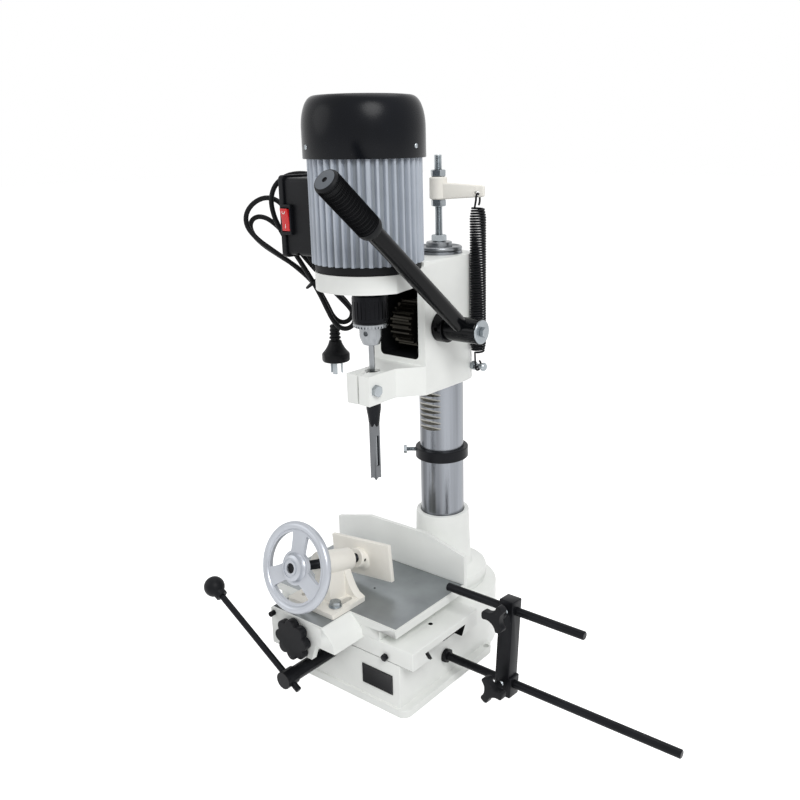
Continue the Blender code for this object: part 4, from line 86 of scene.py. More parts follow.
# Places that several pieces share, in metres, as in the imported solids
BASE_FRONT = -0.199
SLIDES_REAR = -0.0645
SADDLE_BOTTOM = 0.0713
SADDLE_TOP = 0.095
TABLE_TOP = 0.119
COLUMN_RADIUS = 0.030
COLUMN_BORE = 0.0303
HEAD_BOLT_Z = 0.400
SPINDLE = Vector((0, -0.137, 0))
LEVER_AXIS = Vector((0, -0.055, 0.465))
ARM_X = 0.079
ARM_ANGLE = math.radians(39.6)
ARM_DIRECTION = Vector((0, -math.cos(ARM_ANGLE), math.sin(ARM_ANGLE)))
CLAMP_ORIGIN = Vector((-0.036, -0.248, 0.189))
CLAMP_SLOPE = math.radians(16)
CLAMP_DIRECTION = Vector((0, math.cos(CLAMP_SLOPE), -math.sin(CLAMP_SLOPE)))
CLAMP = (CLAMP_ORIGIN, CLAMP_DIRECTION)
CLAMP_BORE = 6.3 * MM
TRAVEL_HUB = Vector((-0.0335, -0.2745, 0.050))
TRAVEL_ANGLE = math.radians(148)
TRAVEL_DIRECTION = Vector((math.cos(TRAVEL_ANGLE), 0, math.sin(TRAVEL_ANGLE)))
FEED_AXIS = Vector((-0.040, 0, 0.0935))
STOP_X = 0.178
STOP_Y = -0.107
STOP_LOWER_Z = 0.040
STOP_UPPER_Z = 0.136
STOP_ROD_RADIUS = 5.3 * MM
STOP_ROD_BORE = 5.6 * MM
STOP_LEAN = Matrix.Rotation(math.radians(-5.1), 4, "X")
SPRING_X = 0.051
SPRING_Y = 0.015
SPRING_LOW = 0.420
SPRING_HIGH = 0.606
SPRING_TURN = math.atan2(SPRING_Y, SPRING_X)
SPRING_ACROSS = Vector((-math.sin(SPRING_TURN), math.cos(SPRING_TURN), 0))
ARM_EYE = Vector((SPRING_X, SPRING_Y, 0.6235))

# The cord's way from the switch box round its hank to the plug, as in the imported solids
CORD_RADIUS = 0.0032
CORD_LOOPS = 2
CORD_POINTS_PER_LOOP = 24
CORD_LAYER_STEP = 0.012
HANK_HEADING = math.radians(PHOTO_HEADING)
HANK_WAIST = (-0.160, 0.515)
HANK_FRONT_LAYER = -0.006
HANK_WAIST_HALF_WIDTH = 0.005
UPPER_LOBE_LENGTH = 0.130
UPPER_LOBE_HALF_WIDTH = 0.030
UPPER_LOBE_LEAN = math.radians(38)
UPPER_LOBE_LEAN_STEP = math.radians(9)
UPPER_LOBE_SHARES = (1.0, 0.90)
UPPER_WIDTH_SHARES = (1.0, 0.52)
LOWER_LOBE_LENGTH = 0.078
LOWER_LOBE_HALF_WIDTH = 0.013
LOWER_LOBE_LEAN = math.radians(33)
LOWER_LOBE_SHARES = (1.0, 0.90)
CORD_LEAD = (
    (-0.135, -0.001, 0.641),
    (-0.155, 0.002, 0.649),
    (-0.175, 0.001, 0.6535),
    (-0.195, -0.001, 0.652),
    (-0.211, -0.004, 0.640),
    (-0.218, -0.006, 0.620),
    (-0.2135, -0.006, 0.599),
    (-0.203, -0.006, 0.578),
    (-0.190, -0.006, 0.556),
    (-0.177, -0.006, 0.535),
)
GLAND_END = Vector((-0.088, -0.0947, 0.636))
PLUG_ALONG = -0.143
PLUG_LAYER = 0.020
PLUG_TOP = 0.451


def linear(code):
    """An sRGB hex colour as the linear red, green and blue that a shader takes."""
    channels = [int(code[i : i + 2], 16) / 255 for i in (0, 2, 4)]
    return [c / 12.92 if c <= 0.04045 else ((c + 0.055) / 1.055) ** 2.4 for c in channels]


class MortiserSizes(bpy.types.PropertyGroup):
    """Sizes that change how the mortiser's pieces are finished."""

    casting_edge: bpy.props.FloatProperty(
        name="Casting edge",
        description="Radius worn on the painted castings' edges",
        default=1.8 * MM,
        min=0.2 * MM,
        max=3 * MM,
        unit="LENGTH",
    )
    motor_fins: bpy.props.IntProperty(
        name="Motor fins",
        description="Cooling fins round the motor's housing",
        default=40,
        min=12,
        max=48,
    )
    grip_rows: bpy.props.IntProperty(
        name="Grip rows",
        description="Rows of dimples along the lever's grip",
        default=13,
        min=4,
        max=24,
    )
    thread_pitch: bpy.props.FloatProperty(
        name="Thread pitch",
        description="Distance between the ridges of the stud's thread",
        default=1.5 * MM,
        min=0.8 * MM,
        max=3 * MM,
        unit="LENGTH",
    )


class MortiserColours(bpy.types.PropertyGroup):
    """Colours of the mortiser's main finishes."""

    casting: bpy.props.FloatVectorProperty(
        name="Castings",
        description="White enamel on the iron castings",
        subtype="COLOR",
        default=linear("EFF1EE"),
    )
    cream: bpy.props.FloatVectorProperty(
        name="Clamp castings",
        description="Cream enamel on the clamp and the spring arm",
        subtype="COLOR",
        default=linear("EFECE4"),
    )
    motor: bpy.props.FloatVectorProperty(
        name="Motor",
        description="Silver enamel on the finned housing",
        subtype="COLOR",
        default=linear("AAB1BB"),
    )
    wheel: bpy.props.FloatVectorProperty(
        name="Handwheel",
        description="Silver enamel on the handwheel",
        subtype="COLOR",
        default=linear("B9BDC4"),
    )
    rocker: bpy.props.FloatVectorProperty(
        name="Rocker",
        description="Red plastic of the switch's rocker",
        subtype="COLOR",
        default=linear("D5161C"),
    )


# Each finish: colour, metallic, roughness, grain in mm along each axis, relief in mm, and how
# far its tone drifts. A grain too fine to show at this distance is drawn a few times too coarse.
FINISHES = {
    # Brushed enamel on sand-cast iron: soft gloss with the sand's slow waves under it
    "cast_iron_enamel": ("casting", 0.0, 0.34, (4.0, 4.0, 4.0), 0.05, 0.03),
    "cream_enamel": ("cream", 0.0, 0.38, (3.0, 3.0, 3.0), 0.07, 0.04),
    # Silver enamel sprayed on extruded aluminium: a fine metal sparkle
    "motor_enamel": ("motor", 0.25, 0.40, (1.2, 1.2, 6.0), 0.03, 0.06),
    # The same enamel, darker between the fins: painted shade in the valleys
    "motor_valley": ("82888F", 0.1, 0.50, (1.2, 1.2, 6.0), 0.03, 0.10),
    "wheel_enamel": ("wheel", 0.45, 0.33, (2.5, 2.5, 2.5), 0.05, 0.05),
    # Pressed steel with a satin black coat: wide soft highlights
    "satin_black_steel": ("0E1015", 0.0, 0.27, (6.0, 6.0, 6.0), 0.03, 0.20),
    # Crackle coat on the motor's end bell: grainy and matt
    "crackle_black": ("17181A", 0.0, 0.55, (1.1, 1.1, 1.1), 0.22, 0.30),
    # Black enamel on the lever's tube: a hard gloss
    "gloss_black": ("0C0D0F", 0.0, 0.13, (9.0, 9.0, 9.0), 0.02, 0.10),
    # Chemically blackened steel on rods and bars: satin, with a slight brown bloom
    "black_oxide": ("1A1B1E", 0.35, 0.36, (1.0, 1.0, 1.0), 0.03, 0.25),
    # Moulded nylon and ABS: matt, with the mould's fine spark-eroded grain
    "moulded_black": ("17181B", 0.0, 0.44, (0.8, 0.8, 0.8), 0.05, 0.20),
    # Moulded rubber on the grip: matt and a little dusty
    "grip_rubber": ("141517", 0.0, 0.50, (1.0, 1.0, 1.0), 0.06, 0.25),
    # The grip's end, lighter grey: a painted highlight where it faces the lamps
    "scuffed_rubber": ("53585E", 0.0, 0.62, (0.8, 0.8, 0.8), 0.05, 0.12),
    # Oiled bare iron on the slides' flanks; the same dark colour is painted shade in their gaps, in slots and
    # holes and under the saddle's lip
    "oiled_iron": ("17181A", 0.3, 0.50, (1.5, 1.5, 1.5), 0.05, 0.30),
    # Soft PVC on the cord and the plug
    "cord_pvc": ("121315", 0.0, 0.40, (1.2, 1.2, 1.2), 0.03, 0.15),
    "red_abs": ("rocker", 0.0, 0.26, (2.0, 2.0, 2.0), 0.01, 0.05),
    "white_ink": ("F4F4F0", 0.0, 0.45, (2.0, 2.0, 2.0), 0.01, 0.02),
    # Bright zinc plate on bolts, nuts and washers
    "zinc_plate": ("A2A8AC", 1.0, 0.28, (1.5, 1.5, 1.5), 0.02, 0.14),
    # Centreless-ground steel on shafts and screws: the wheel's fine marks run round them
    "ground_steel": ("84888D", 1.0, 0.24, (25.0, 25.0, 0.7), 0.012, 0.16),
    # The column's ground face: its tone drifts in upright streaks, a painted reflection of the room
    "column_steel": ("75787D", 1.0, 0.22, (25.0, 25.0, 0.7), 0.010, 0.48),
    "milled_rack": ("A5A49F", 1.0, 0.38, (1.0, 1.0, 3.0), 0.05, 0.25),
    # Surface-ground cast iron on the table: fine lines along the fence, open grey grain
    "ground_iron": ("969B9E", 0.75, 0.32, (30.0, 0.6, 4.0), 0.02, 0.14),
    # Hardened tool steel, ground grey on the chisel and blackened at its neck
    "tool_steel": ("6B6D70", 1.0, 0.33, (0.8, 0.8, 8.0), 0.03, 0.20),
    "tempered_black": ("202124", 0.7, 0.35, (1.0, 1.0, 1.0), 0.04, 0.30),
    "bright_steel": ("8D9093", 1.0, 0.24, (6.0, 6.0, 0.8), 0.015, 0.12),
    # Greased gear steel inside the head
    "greased_steel": ("26241F", 0.7, 0.24, (2.0, 2.0, 2.0), 0.05, 0.40),
    "spring_black": ("131417", 0.2, 0.32, (1.0, 1.0, 1.0), 0.02, 0.20),
    "steel_cap": ("84878A", 0.9, 0.30, (8.0, 8.0, 0.8), 0.02, 0.20),
    "winding_copper": ("8A5A3A", 0.8, 0.40, (1.0, 1.0, 1.0), 0.05, 0.30),
    "anodised_black": ("101114", 0.2, 0.30, (1.0, 1.0, 1.0), 0.01, 0.10),
}


# How far apart, in mm, a finish's tone drifts along each axis; the others drift in patches
# The column's upright streaks are a painted reflection of the room
TONE_GRAIN = {"column_steel": (17.0, 17.0, 900.0), "bright_steel": (4.0, 4.0, 60.0)}
PATCHES = (45.0, 45.0, 45.0)

# Black finishes mirror less, and each finish's roughness varies by this share with its grain
DARK_TONE = 0.03
DARK_SPECULAR = 0.13
GLOSS_SPREAD = 0.12

# Smoothing angle that keeps a hexagon's corners sharp
HEXAGON_ANGLE = 22


def add_node(tree, kind, settings, **links):
    """A shader node with its settings, and other nodes' outputs linked to its inputs."""
    made = tree.nodes.new(kind)
    for key, value in settings.items():
        if key in made.inputs:
            made.inputs[key].default_value = value
        else:
            setattr(made, key, value)
    for key, output in links.items():
        tree.links.new(output, made.inputs[key.replace("_", " ")])
    return made


def material(name):
    """The named finish: a Principled shader with grain, relief and drifting tone."""
    made = bpy.data.materials.get(name)
    if made:
        return made
    colour, metallic, roughness, grain, relief, drift = FINISHES[name]
    colours = bpy.context.scene.mortiser_colours
    tone = getattr(colours, colour) if hasattr(colours, colour) else linear(colour)
    made = bpy.data.materials.new(name)
    made.use_nodes = True
    made.diffuse_color = (*tone, 1)
    tree = made.node_tree
    shader = tree.nodes["Principled BSDF"]
    shader.inputs["Metallic"].default_value = metallic
    if max(tone) < DARK_TONE:
        shader.inputs["Specular IOR Level"].default_value = DARK_SPECULAR
    place = add_node(tree, "ShaderNodeTexCoord", {})

    def noise(sizes, detail):
        scale = [1 / (size * MM) for size in sizes]
        spread = add_node(tree, "ShaderNodeMapping", {"Scale": scale}, Vector=place.outputs["Object"])
        settings = {"Scale": 1.0, "Detail": detail}
        return add_node(tree, "ShaderNodeTexNoise", settings, Vector=spread.outputs["Vector"]).outputs["Fac"]

    fine = noise(grain, 4.0)
    slow = noise(TONE_GRAIN.get(name, PATCHES), 3.0)
    bump = add_node(tree, "ShaderNodeBump", {"Strength": 1.0, "Distance": relief * MM}, Height=fine)
    ramp = add_node(tree, "ShaderNodeValToRGB", {}, Fac=slow)
    for element, position, change in zip(ramp.color_ramp.elements, (0.3, 0.7), (-drift, drift)):
        element.color = (*[min(1.0, channel * (1 + change)) for channel in tone], 1)
        element.position = position
    settings = {"To Min": roughness * (1 - GLOSS_SPREAD), "To Max": min(1.0, roughness * (1 + GLOSS_SPREAD))}
    gloss = add_node(tree, "ShaderNodeMapRange", settings, Value=fine)
    tree.links.new(ramp.outputs["Color"], shader.inputs["Base Color"])
    tree.links.new(gloss.outputs["Result"], shader.inputs["Roughness"])
    tree.links.new(bump.outputs["Normal"], shader.inputs["Normal"])
    return made


def pick(piece):
    """Leaves edit mode and makes one piece the whole selection."""
    if bpy.context.mode != "OBJECT":
        bpy.ops.object.mode_set(mode="OBJECT")
    bpy.ops.object.select_all(action="DESELECT")
    if piece:
        piece.select_set(True)
        bpy.context.view_layer.objects.active = piece


def edit(piece, choose=None):
    """Enters edit mode with the faces chosen by a test of each, or with all of them."""
    pick(piece)
    for group in (piece.data.vertices, piece.data.edges, piece.data.polygons):
        group.foreach_set("select", [choose is None] * len(group))
    if choose:
        for face in piece.data.polygons:
            face.select = choose(face)
    bpy.ops.object.mode_set(mode="EDIT")
    bpy.ops.mesh.select_mode(type="FACE" if choose else "VERT")
    if choose is None:
        bpy.ops.mesh.select_all(action="SELECT")


def named(name):
    piece = bpy.context.object
    piece.name = name
    piece.data.name = name
    return piece


def ring(name, points, fill="NOTHING"):
    """A ring with a corner at each point, which a plate or a turned piece starts from."""
    pick(None)
    bpy.ops.mesh.primitive_circle_add(vertices=len(points), radius=1, fill_type=fill)
    piece = named(name)
    for corner, point in zip(piece.data.vertices, points):
        corner.co = point
    return piece


def cleaned(piece):
    """Merges what meets, drops loose edges and points the faces outwards."""
    edit(piece)
    bpy.ops.mesh.remove_doubles(threshold=0.002 * MM)
    bpy.ops.mesh.delete_loose(use_verts=True, use_edges=True, use_faces=False)
    bpy.ops.mesh.select_all(action="SELECT")
    bpy.ops.mesh.normals_make_consistent(inside=False)
    pick(piece)
    return piece


def placed(piece, origin, along=Z_AXIS, turn=0.0):
    """Turns a piece's Z to a direction, moves it to an origin, and puts both in its mesh."""
    lean = Z_AXIS.rotation_difference(Vector(along)).to_matrix().to_4x4()
    piece.data.transform(Matrix.Translation(origin) @ lean @ Matrix.Rotation(turn, 4, "Z"))
    return piece


def turned(name, profile, origin=(0, 0, 0), along=Z_AXIS, steps=72):
    """A closed profile of (radius, height) spun once round its axis."""
    piece = ring(name, [(radius, 0, height) for radius, height in profile])
    edit(piece)
    bpy.ops.mesh.spin(steps=steps, angle=math.tau, center=(0, 0, 0), axis=(0, 0, 1))
    cleaned(piece)
    return placed(piece, origin, along)


def core(*steps):
    """A turned profile closed on its axis at both ends."""
    return [(0, steps[0][1]), *steps, (0, steps[-1][1])]


def in_mm(points, rise=0.0):
    """A profile written in millimetres, in metres and raised."""
    return [(radius * MM, rise + height * MM) for radius, height in points]


def polar(radius, turn):
    return (radius * math.cos(turn), radius * math.sin(turn))


def heading(degrees):
    """The level direction at an angle from X."""
    return Vector((*polar(1, math.radians(degrees)), 0))


def round_bar(name, radius, low, high, origin=(0, 0, 0), along=Z_AXIS, edge=0.0, steps=48):
    """A turned bar with chamfered or square ends."""
    profile = [(radius - edge, low), (radius, low + edge), (radius, high - edge), (radius - edge, high)]
    if not edge:
        profile = [(radius, low), (radius, high)]
    return turned(name, core(*profile), origin, along, steps)


def bore(radius, low, high, origin=(0, 0, 0), along=Z_AXIS, steps=48):
    """A square-ended bar that a round hole is cut with."""
    return round_bar("bore", radius, low, high, origin, along, 0, steps)


def pipe(name, outer, inner, low, high, origin=(0, 0, 0), along=Z_AXIS, edge=0.0, steps=72):
    """A turned ring, with its outer edges chamfered."""
    profile = [(inner, low), (outer - edge, low), (outer, low + edge), (outer, high - edge)]
    profile += [(outer - edge, high), (inner, high)]
    return turned(name, list(dict.fromkeys(profile)), origin, along, steps)


def plate(name, outline, axis, low, high):
    """An outline across one axis, filled and extruded along that axis."""
    orders = {
        "X": lambda a, b, c: (c, a, b),
        "Y": lambda a, b, c: (a, c, b),
        "Z": lambda a, b, c: (a, b, c),
    }
    place = orders[axis]
    piece = ring(name, [place(a, b, low) for a, b in outline], "NGON")
    edit(piece)
    run = place(0, 0, high - low)
    bpy.ops.mesh.extrude_region_move(TRANSFORM_OT_translate={"value": run})
    bpy.ops.mesh.select_all(action="SELECT")
    bpy.ops.mesh.normals_make_consistent(inside=False)
    pick(piece)
    return piece


def block(name, x_range, y_range, z_range):
    """A cube primitive set to a box of the frame."""
    pick(None)
    spans = (x_range, y_range, z_range)
    middle = [(a + b) / 2 for a, b in spans]
    bpy.ops.mesh.primitive_cube_add(size=1, location=middle, scale=[b - a for a, b in spans])
    piece = named(name)
    bpy.ops.object.transform_apply(location=True, rotation=True, scale=True)
    return piece


def applied(piece, kind, **settings):
    """Adds a modifier with its settings and applies it."""
    modifier = piece.modifiers.new(kind.lower(), kind)
    for key, value in settings.items():
        setattr(modifier, key, value)
    pick(piece)
    bpy.ops.object.modifier_apply(modifier=modifier.name)
    return piece


def softened(piece, width, segments=3, angle=32):
    """Rounds the edges that turn more than an angle."""
    return applied(
        piece,
        "BEVEL",
        width=width,
        segments=segments,
        limit_method="ANGLE",
        angle_limit=math.radians(angle),
        use_clamp_overlap=True,
    )


def combined(piece, operation, tools):
    for tool in tools:
        applied(piece, "BOOLEAN", operation=operation, solver="EXACT", object=tool)
        bpy.data.objects.remove(tool)
    return piece


def carved(piece, *tools):
    return combined(piece, "DIFFERENCE", tools)


def fused(piece, *others):
    return combined(piece, "UNION", others)


def gathered(name, pieces):
    """Joins separate shells of one finish into one piece."""
    pick(pieces[0])
    for piece in pieces:
        piece.select_set(True)
    bpy.ops.object.join()
    return named(name)


def copies(piece, count, centre, axis="Z"):
    """Copies of a piece turned round a centre, each with its own mesh."""
    made = [piece]
    for i in range(1, count):
        pick(piece)
        bpy.ops.object.duplicate(linked=False)
        twin = bpy.context.object
        turn = Matrix.Rotation(math.tau * i / count, 4, axis)
        there = Matrix.Translation(centre)
        twin.data.transform(there @ turn @ there.inverted())
        made.append(twin)
    return made


def finish(piece, look, body, *nodes, angle=35):
    """Smooths and paints a piece, puts it on its body and lets it stand for its solids."""
    pick(piece)
    bpy.ops.object.shade_smooth_by_angle(angle=math.radians(angle))
    piece.data.materials.clear()
    piece.data.materials.append(material(look))
    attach(piece, body)
    if nodes:
        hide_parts(*nodes)
    return piece


def painted(piece, look, choose):
    """Gives the faces that pass a test a second finish."""
    piece.data.materials.append(material(look))
    index = len(piece.data.materials) - 1
    for face in piece.data.polygons:
        if choose(face):
            face.material_index = index


def within(face, x=(-1, 1), y=(-1, 1), z=(-1, 1)):
    """Whether a face's centre lies in a box of the frame."""
    return all(low < place < high for place, (low, high) in zip(face.center, (x, y, z)))


def arc(centre, radius, start, end, steps):
    """Points of an arc, with its angles in degrees."""
    points = []
    for i in range(steps + 1):
        across, up = polar(radius, math.radians(start + (end - start) * i / steps))
        points.append((centre[0] + across, centre[1] + up))
    return points


def rounded(low, high, radius, steps=8):
    """A rectangle's outline with round corners."""
    points = []
    corners = ((high, high), (low, high), (low, low), (high, low))
    for index, (a, b) in enumerate(corners):
        x = a[0] - radius if a is high else a[0] + radius
        y = b[1] - radius if b is high else b[1] + radius
        points += arc((x, y), radius, index * 90, (index + 1) * 90, steps)
    return points


def eased(outline, passes=2):
    """An outline with its corners cut off again and again until they look round."""
    for _ in range(passes):
        points = []
        for (ax, ay), (bx, by) in zip(outline, outline[1:] + outline[:1]):
            points.append((ax * 0.75 + bx * 0.25, ay * 0.75 + by * 0.25))
            points.append((ax * 0.25 + bx * 0.75, ay * 0.25 + by * 0.75))
        outline = points
    return outline


def hexagon(flats):
    radius = flats / math.sqrt(3)
    return [polar(radius, math.tau * i / 6) for i in range(6)]


def hex_head(name, flats, low, high, hole=0.0, chamfer_low=False):
    """A hexagon whose corners are turned off at its top, and at its foot for a nut."""
    piece = plate(name, hexagon(flats), "Z", low, high)
    face_share, corner_share, chamfer = 0.95, 1.2, 28
    inner = flats / 2 * face_share
    outer = flats / math.sqrt(3) * corner_share
    drop = (outer - inner) * math.tan(math.radians(chamfer))
    foot = [(inner, low), (outer, low + drop)] if chamfer_low else [(outer, low)]
    turner = turned("turner", core(*foot, (outer, high - drop), (inner, high)), steps=48)
    combined(piece, "INTERSECT", [turner])
    if hole:
        carved(piece, bore(hole, low - MM, high + MM, steps=32))
    return piece


def threaded(name, radius, low, high, pitch, steps=28):
    """A bar whose profile has the thread's ridges."""
    count = max(1, round((high - low) / pitch))
    end_share, root_share = 0.86, 0.87
    points = [(radius * end_share, low)]
    for i in range(count):
        base = low + (high - low) * i / count
        points.append((radius, base + pitch * 0.35))
        points.append((radius * root_share, base + pitch * 0.8))
    points.append((radius * end_share, high))
    return turned(name, core(*points), steps=steps)


def tube_along(name, points, radius, resolution, radii=None):
    """A curve object along points, swept with a round section."""
    curve = bpy.data.curves.new(name, "CURVE")
    curve.dimensions = "3D"
    curve.bevel_depth = radius
    curve.bevel_resolution = resolution
    curve.use_fill_caps = True
    line = curve.splines.new("POLY")
    line.points.add(len(points) - 1)
    for index, (slot, point) in enumerate(zip(line.points, points)):
        slot.co = (*point, 1)
        slot.radius = radii[index] if radii else 1.0
    piece = bpy.data.objects.new(name, curve)
    bpy.context.scene.collection.objects.link(piece)
    return piece


def meshed(piece):
    """Turns a curve into a mesh."""
    pick(piece)
    bpy.ops.object.convert(target="MESH")
    return bpy.context.object


def smoothed_path(points, parts=4):
    """A path through the same points with more points between them."""
    dense = []
    for i in range(len(points) - 1):
        before = points[max(i - 1, 0)]
        first, second = points[i], points[i + 1]
        after = points[min(i + 2, len(points) - 1)]
        for k in range(parts):
            t = k / parts
            pull = (second - before) * t + (2 * before - 5 * first + 4 * second - after) * t**2
            pull += (3 * first - before - 3 * second + after) * t**3
            dense.append(first + pull * 0.5)
    dense.append(points[-1])
    return dense


def hank_point(along, layer, height):
    """A point of the hank: along the plane that it hangs in, behind that plane, and up."""
    right = Vector((math.cos(HANK_HEADING), math.sin(HANK_HEADING), 0))
    behind = Vector((-math.sin(HANK_HEADING), math.cos(HANK_HEADING), 0))
    return right * along + behind * layer + Vector((0, 0, height))


def lobe_points(turns, axis, length, half_width, side):
    """Half a loop, from the waist round a teardrop lobe and back to the waist."""
    steps = CORD_POINTS_PER_LOOP // 2
    right = Vector((abs(axis.y), abs(axis.x)))
    points = []
    for i in range(steps):
        half_turn = math.pi * i / steps
        swell = 1.3 * half_width * math.sin(2 * half_turn) * math.sin(half_turn)
        offset = side * (HANK_WAIST_HALF_WIDTH * math.cos(half_turn) + swell)
        place = Vector(HANK_WAIST) + axis * length * math.sin(half_turn) + right * offset
        layer = HANK_FRONT_LAYER + CORD_LAYER_STEP * (turns + i / steps / 2)
        points.append((place.x, layer, place.y))
    return points


def cord_path():
    """The cord from its gland, round the hank's loops and on to the plug."""
    loops = list(CORD_LEAD)
    down = Vector((math.sin(LOWER_LOBE_LEAN), -math.cos(LOWER_LOBE_LEAN)))
    for i in range(CORD_LOOPS):
        lean = UPPER_LOBE_LEAN + UPPER_LOBE_LEAN_STEP * i
        up = Vector((-math.sin(lean), math.cos(lean)))
        low_length = LOWER_LOBE_LENGTH * LOWER_LOBE_SHARES[i]
        loops += lobe_points(i, down, low_length, LOWER_LOBE_HALF_WIDTH * LOWER_LOBE_SHARES[i], -1)
        high_width = UPPER_LOBE_HALF_WIDTH * UPPER_WIDTH_SHARES[i]
        loops += lobe_points(i + 0.5, up, UPPER_LOBE_LENGTH * UPPER_LOBE_SHARES[i], high_width, 1)
    back_layer = HANK_FRONT_LAYER + CORD_LAYER_STEP * CORD_LOOPS
    loops.append((HANK_WAIST[0] - HANK_WAIST_HALF_WIDTH, back_layer, HANK_WAIST[1]))
    points = [hank_point(*loop) for loop in loops]
    plug_top = hank_point(PLUG_ALONG, PLUG_LAYER, PLUG_TOP + 0.3 * MM)
    straight = 2 * CORD_RADIUS
    lead = [GLAND_END, GLAND_END + Y_AXIS * straight]
    tail = [plug_top + Z_AXIS * straight, plug_top]
    middle = (points[-1] + tail[0]) / 2
    smooth = [*lead, *points, middle, *tail]
    for _ in range(2):
        inner = [(a + 2 * b + c) / 4 for a, b, c in zip(smooth, smooth[1:], smooth[2:])]
        smooth = [*smooth[:2], *inner[1:-1], *smooth[-2:]]
    return smoothed_path(smooth)


class MORTISER_OT_cord(bpy.types.Operator):
    """Mains cord hung up in a tied hank, with its strain relief, tie and plug"""

    bl_idname = "mortiser.cord"
    bl_label = "Cord and plug"

    def execute(self, context):
        route = cord_path()
        cord = tube_along("mains_cord", route, CORD_RADIUS, 7)
        cord.data.materials.append(material("cord_pvc"))
        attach(cord, "head")
        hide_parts("power_cord")
        sleeve = self.sleeve(route)
        plug = self.plug()
        tie = self.tie()
        return {"FINISHED"}

    def sleeve(self, route):
        """The strain relief, ribbed and tapering from the gland along the cord."""
        reach = 26 * MM
        before_hank = -0.06
        points = [p for p in route if (p - GLAND_END).length < reach and p.y < before_hank]
        points = [GLAND_END - Y_AXIS * 0.2 * MM, *points[1:]]
        radii = []
        for i in range(len(points)):
            share = i / (len(points) - 1)
            ridge = 0.22 if i % 2 == 0 else 0.0
            radii.append(1.75 - 0.55 * share + ridge * (1 - share))
        sleeve = meshed(tube_along("cord_strain_relief", points, CORD_RADIUS, 5, radii))
        return finish(sleeve, "moulded_black", "head")

    def plug(self):
        """A three-pin plug hanging down from the cord's end, its pins below its flange."""
        foot = 0.400
        place = hank_point(PLUG_ALONG, PLUG_LAYER, 0)
        outline = [(16.6, 0), (18.2, 0.7), (19.0, 2.2), (19.0, 9.8), (18.4, 11.4), (17.0, 12.8)]
        outline += [(14.6, 15.6), (12.2, 19.2), (10.0, 23.4), (8.9, 26.4), (8.4, 28.6)]
        for i in range(4):
            base = 29.6 + i * 5.2
            outline += [(6.2, base), (6.2, base + 1.6), (7.9 - 0.4 * i, base + 2.3)]
            outline += [(7.8 - 0.4 * i, base + 4.2), (6.2, base + 4.8)]
        outline.append((4.6, 51.0))
        body = turned("plug_body", core(*in_mm(outline, foot)), place, steps=64)
        pins = []
        for turn in (90, 210, 330):
            flat = block("shoulder", (-9 * MM, 9 * MM), (17.6 * MM, 30 * MM), (foot - MM, foot + 40 * MM))
            carved(body, placed(flat, place, Z_AXIS, math.radians(turn + 60)))
            pin = block("pin", (-3.15 * MM, 3.15 * MM), (6.65 * MM, 8.35 * MM), (foot - 17 * MM, foot + MM))
            softened(pin, 0.4 * MM, 2)
            pins.append(placed(pin, place, Z_AXIS, math.radians(turn)))
        finish(body, "cord_pvc", "head", "power_plug", angle=40)
        blades = finish(gathered("plug_pins", pins), "zinc_plate", "head")
        blades.parent = body.parent
        return body

    def tie(self):
        """A strap drawn round the waist of the hank, flat on its four sides."""
        lean = (UPPER_LOBE_LEAN + LOWER_LOBE_LEAN) / 2
        middle = CORD_LAYER_STEP * CORD_LOOPS / 2
        centre = hank_point(HANK_WAIST[0], HANK_FRONT_LAYER + middle, HANK_WAIST[1])
        along = hank_point(-math.sin(lean), 0, math.cos(lean))
        across = hank_point(0, 1, 0)
        sideways = along.cross(across)
        strap_radius = 1.7 * MM
        clear = 1.8 * MM
        deep = across * (middle + CORD_RADIUS * 2.3 + clear)
        wide = sideways * (HANK_WAIST_HALF_WIDTH + CORD_RADIUS * 3.2 + clear)
        steps = 60
        points = []
        for i in range(steps + 1):
            turn = math.tau * i / steps
            flat = (abs(math.cos(turn)) ** 4 + abs(math.sin(turn)) ** 4) ** 0.25
            points.append(centre + (wide * math.cos(turn) + deep * math.sin(turn)) / flat)
        strap = cleaned(meshed(tube_along("cord_tie_wrap", points, strap_radius, 4)))
        return finish(strap, "moulded_black", "head", "cord_tie")


class MORTISER_OT_spring(bpy.types.Operator):
    """Return spring that stretches between the arm on the stud and the bolt on the head"""

    bl_idname = "mortiser.spring"
    bl_label = "Return spring"

    def execute(self, context):
        curls = 56
        steps = 20
        coil_radius = 9.4 * MM
        hook_radius = 6.2 * MM
        eye_radius = 7.5 * MM
        hook = Vector((SPRING_X, SPRING_Y, 0.4010))
        points = []
        hook_steps, hook_sweep = 24, 240
        for i in range(hook_steps + 1):
            bend = math.radians(-150 + hook_sweep * i / hook_steps)
            points.append(hook - hook_radius * (Y_AXIS * math.sin(bend) + Z_AXIS * math.cos(bend)))
        for i in range(curls * steps + 1):
            share = i / (curls * steps)
            spin = -math.pi / 2 + math.tau * curls * share
            close = min(1.0, share * 16, (1 - share) * 16)
            radius = (0.78 + 0.22 * close) * coil_radius
            height = SPRING_LOW + (SPRING_HIGH - SPRING_LOW) * share
            points.append(Vector((SPRING_X, SPRING_Y, height)) + Vector((*polar(1, spin), 0)) * radius)
        eye = ARM_EYE - Z_AXIS * eye_radius
        for i in range(hook_steps + 1):
            bend = math.radians(-90 + hook_sweep * i / hook_steps)
            points.append(eye + eye_radius * (SPRING_ACROSS * math.sin(bend) + Z_AXIS * math.cos(bend)))
        wire = meshed(tube_along("return_spring_wire", points, 1.4 * MM, 2))
        pick(wire)
        bpy.ops.object.shade_smooth_by_angle(angle=math.radians(60))
        wire.data.materials.clear()
        wire.data.materials.append(material("spring_black"))
        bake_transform(wire)
        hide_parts("return_spring")
        return {"FINISHED"}


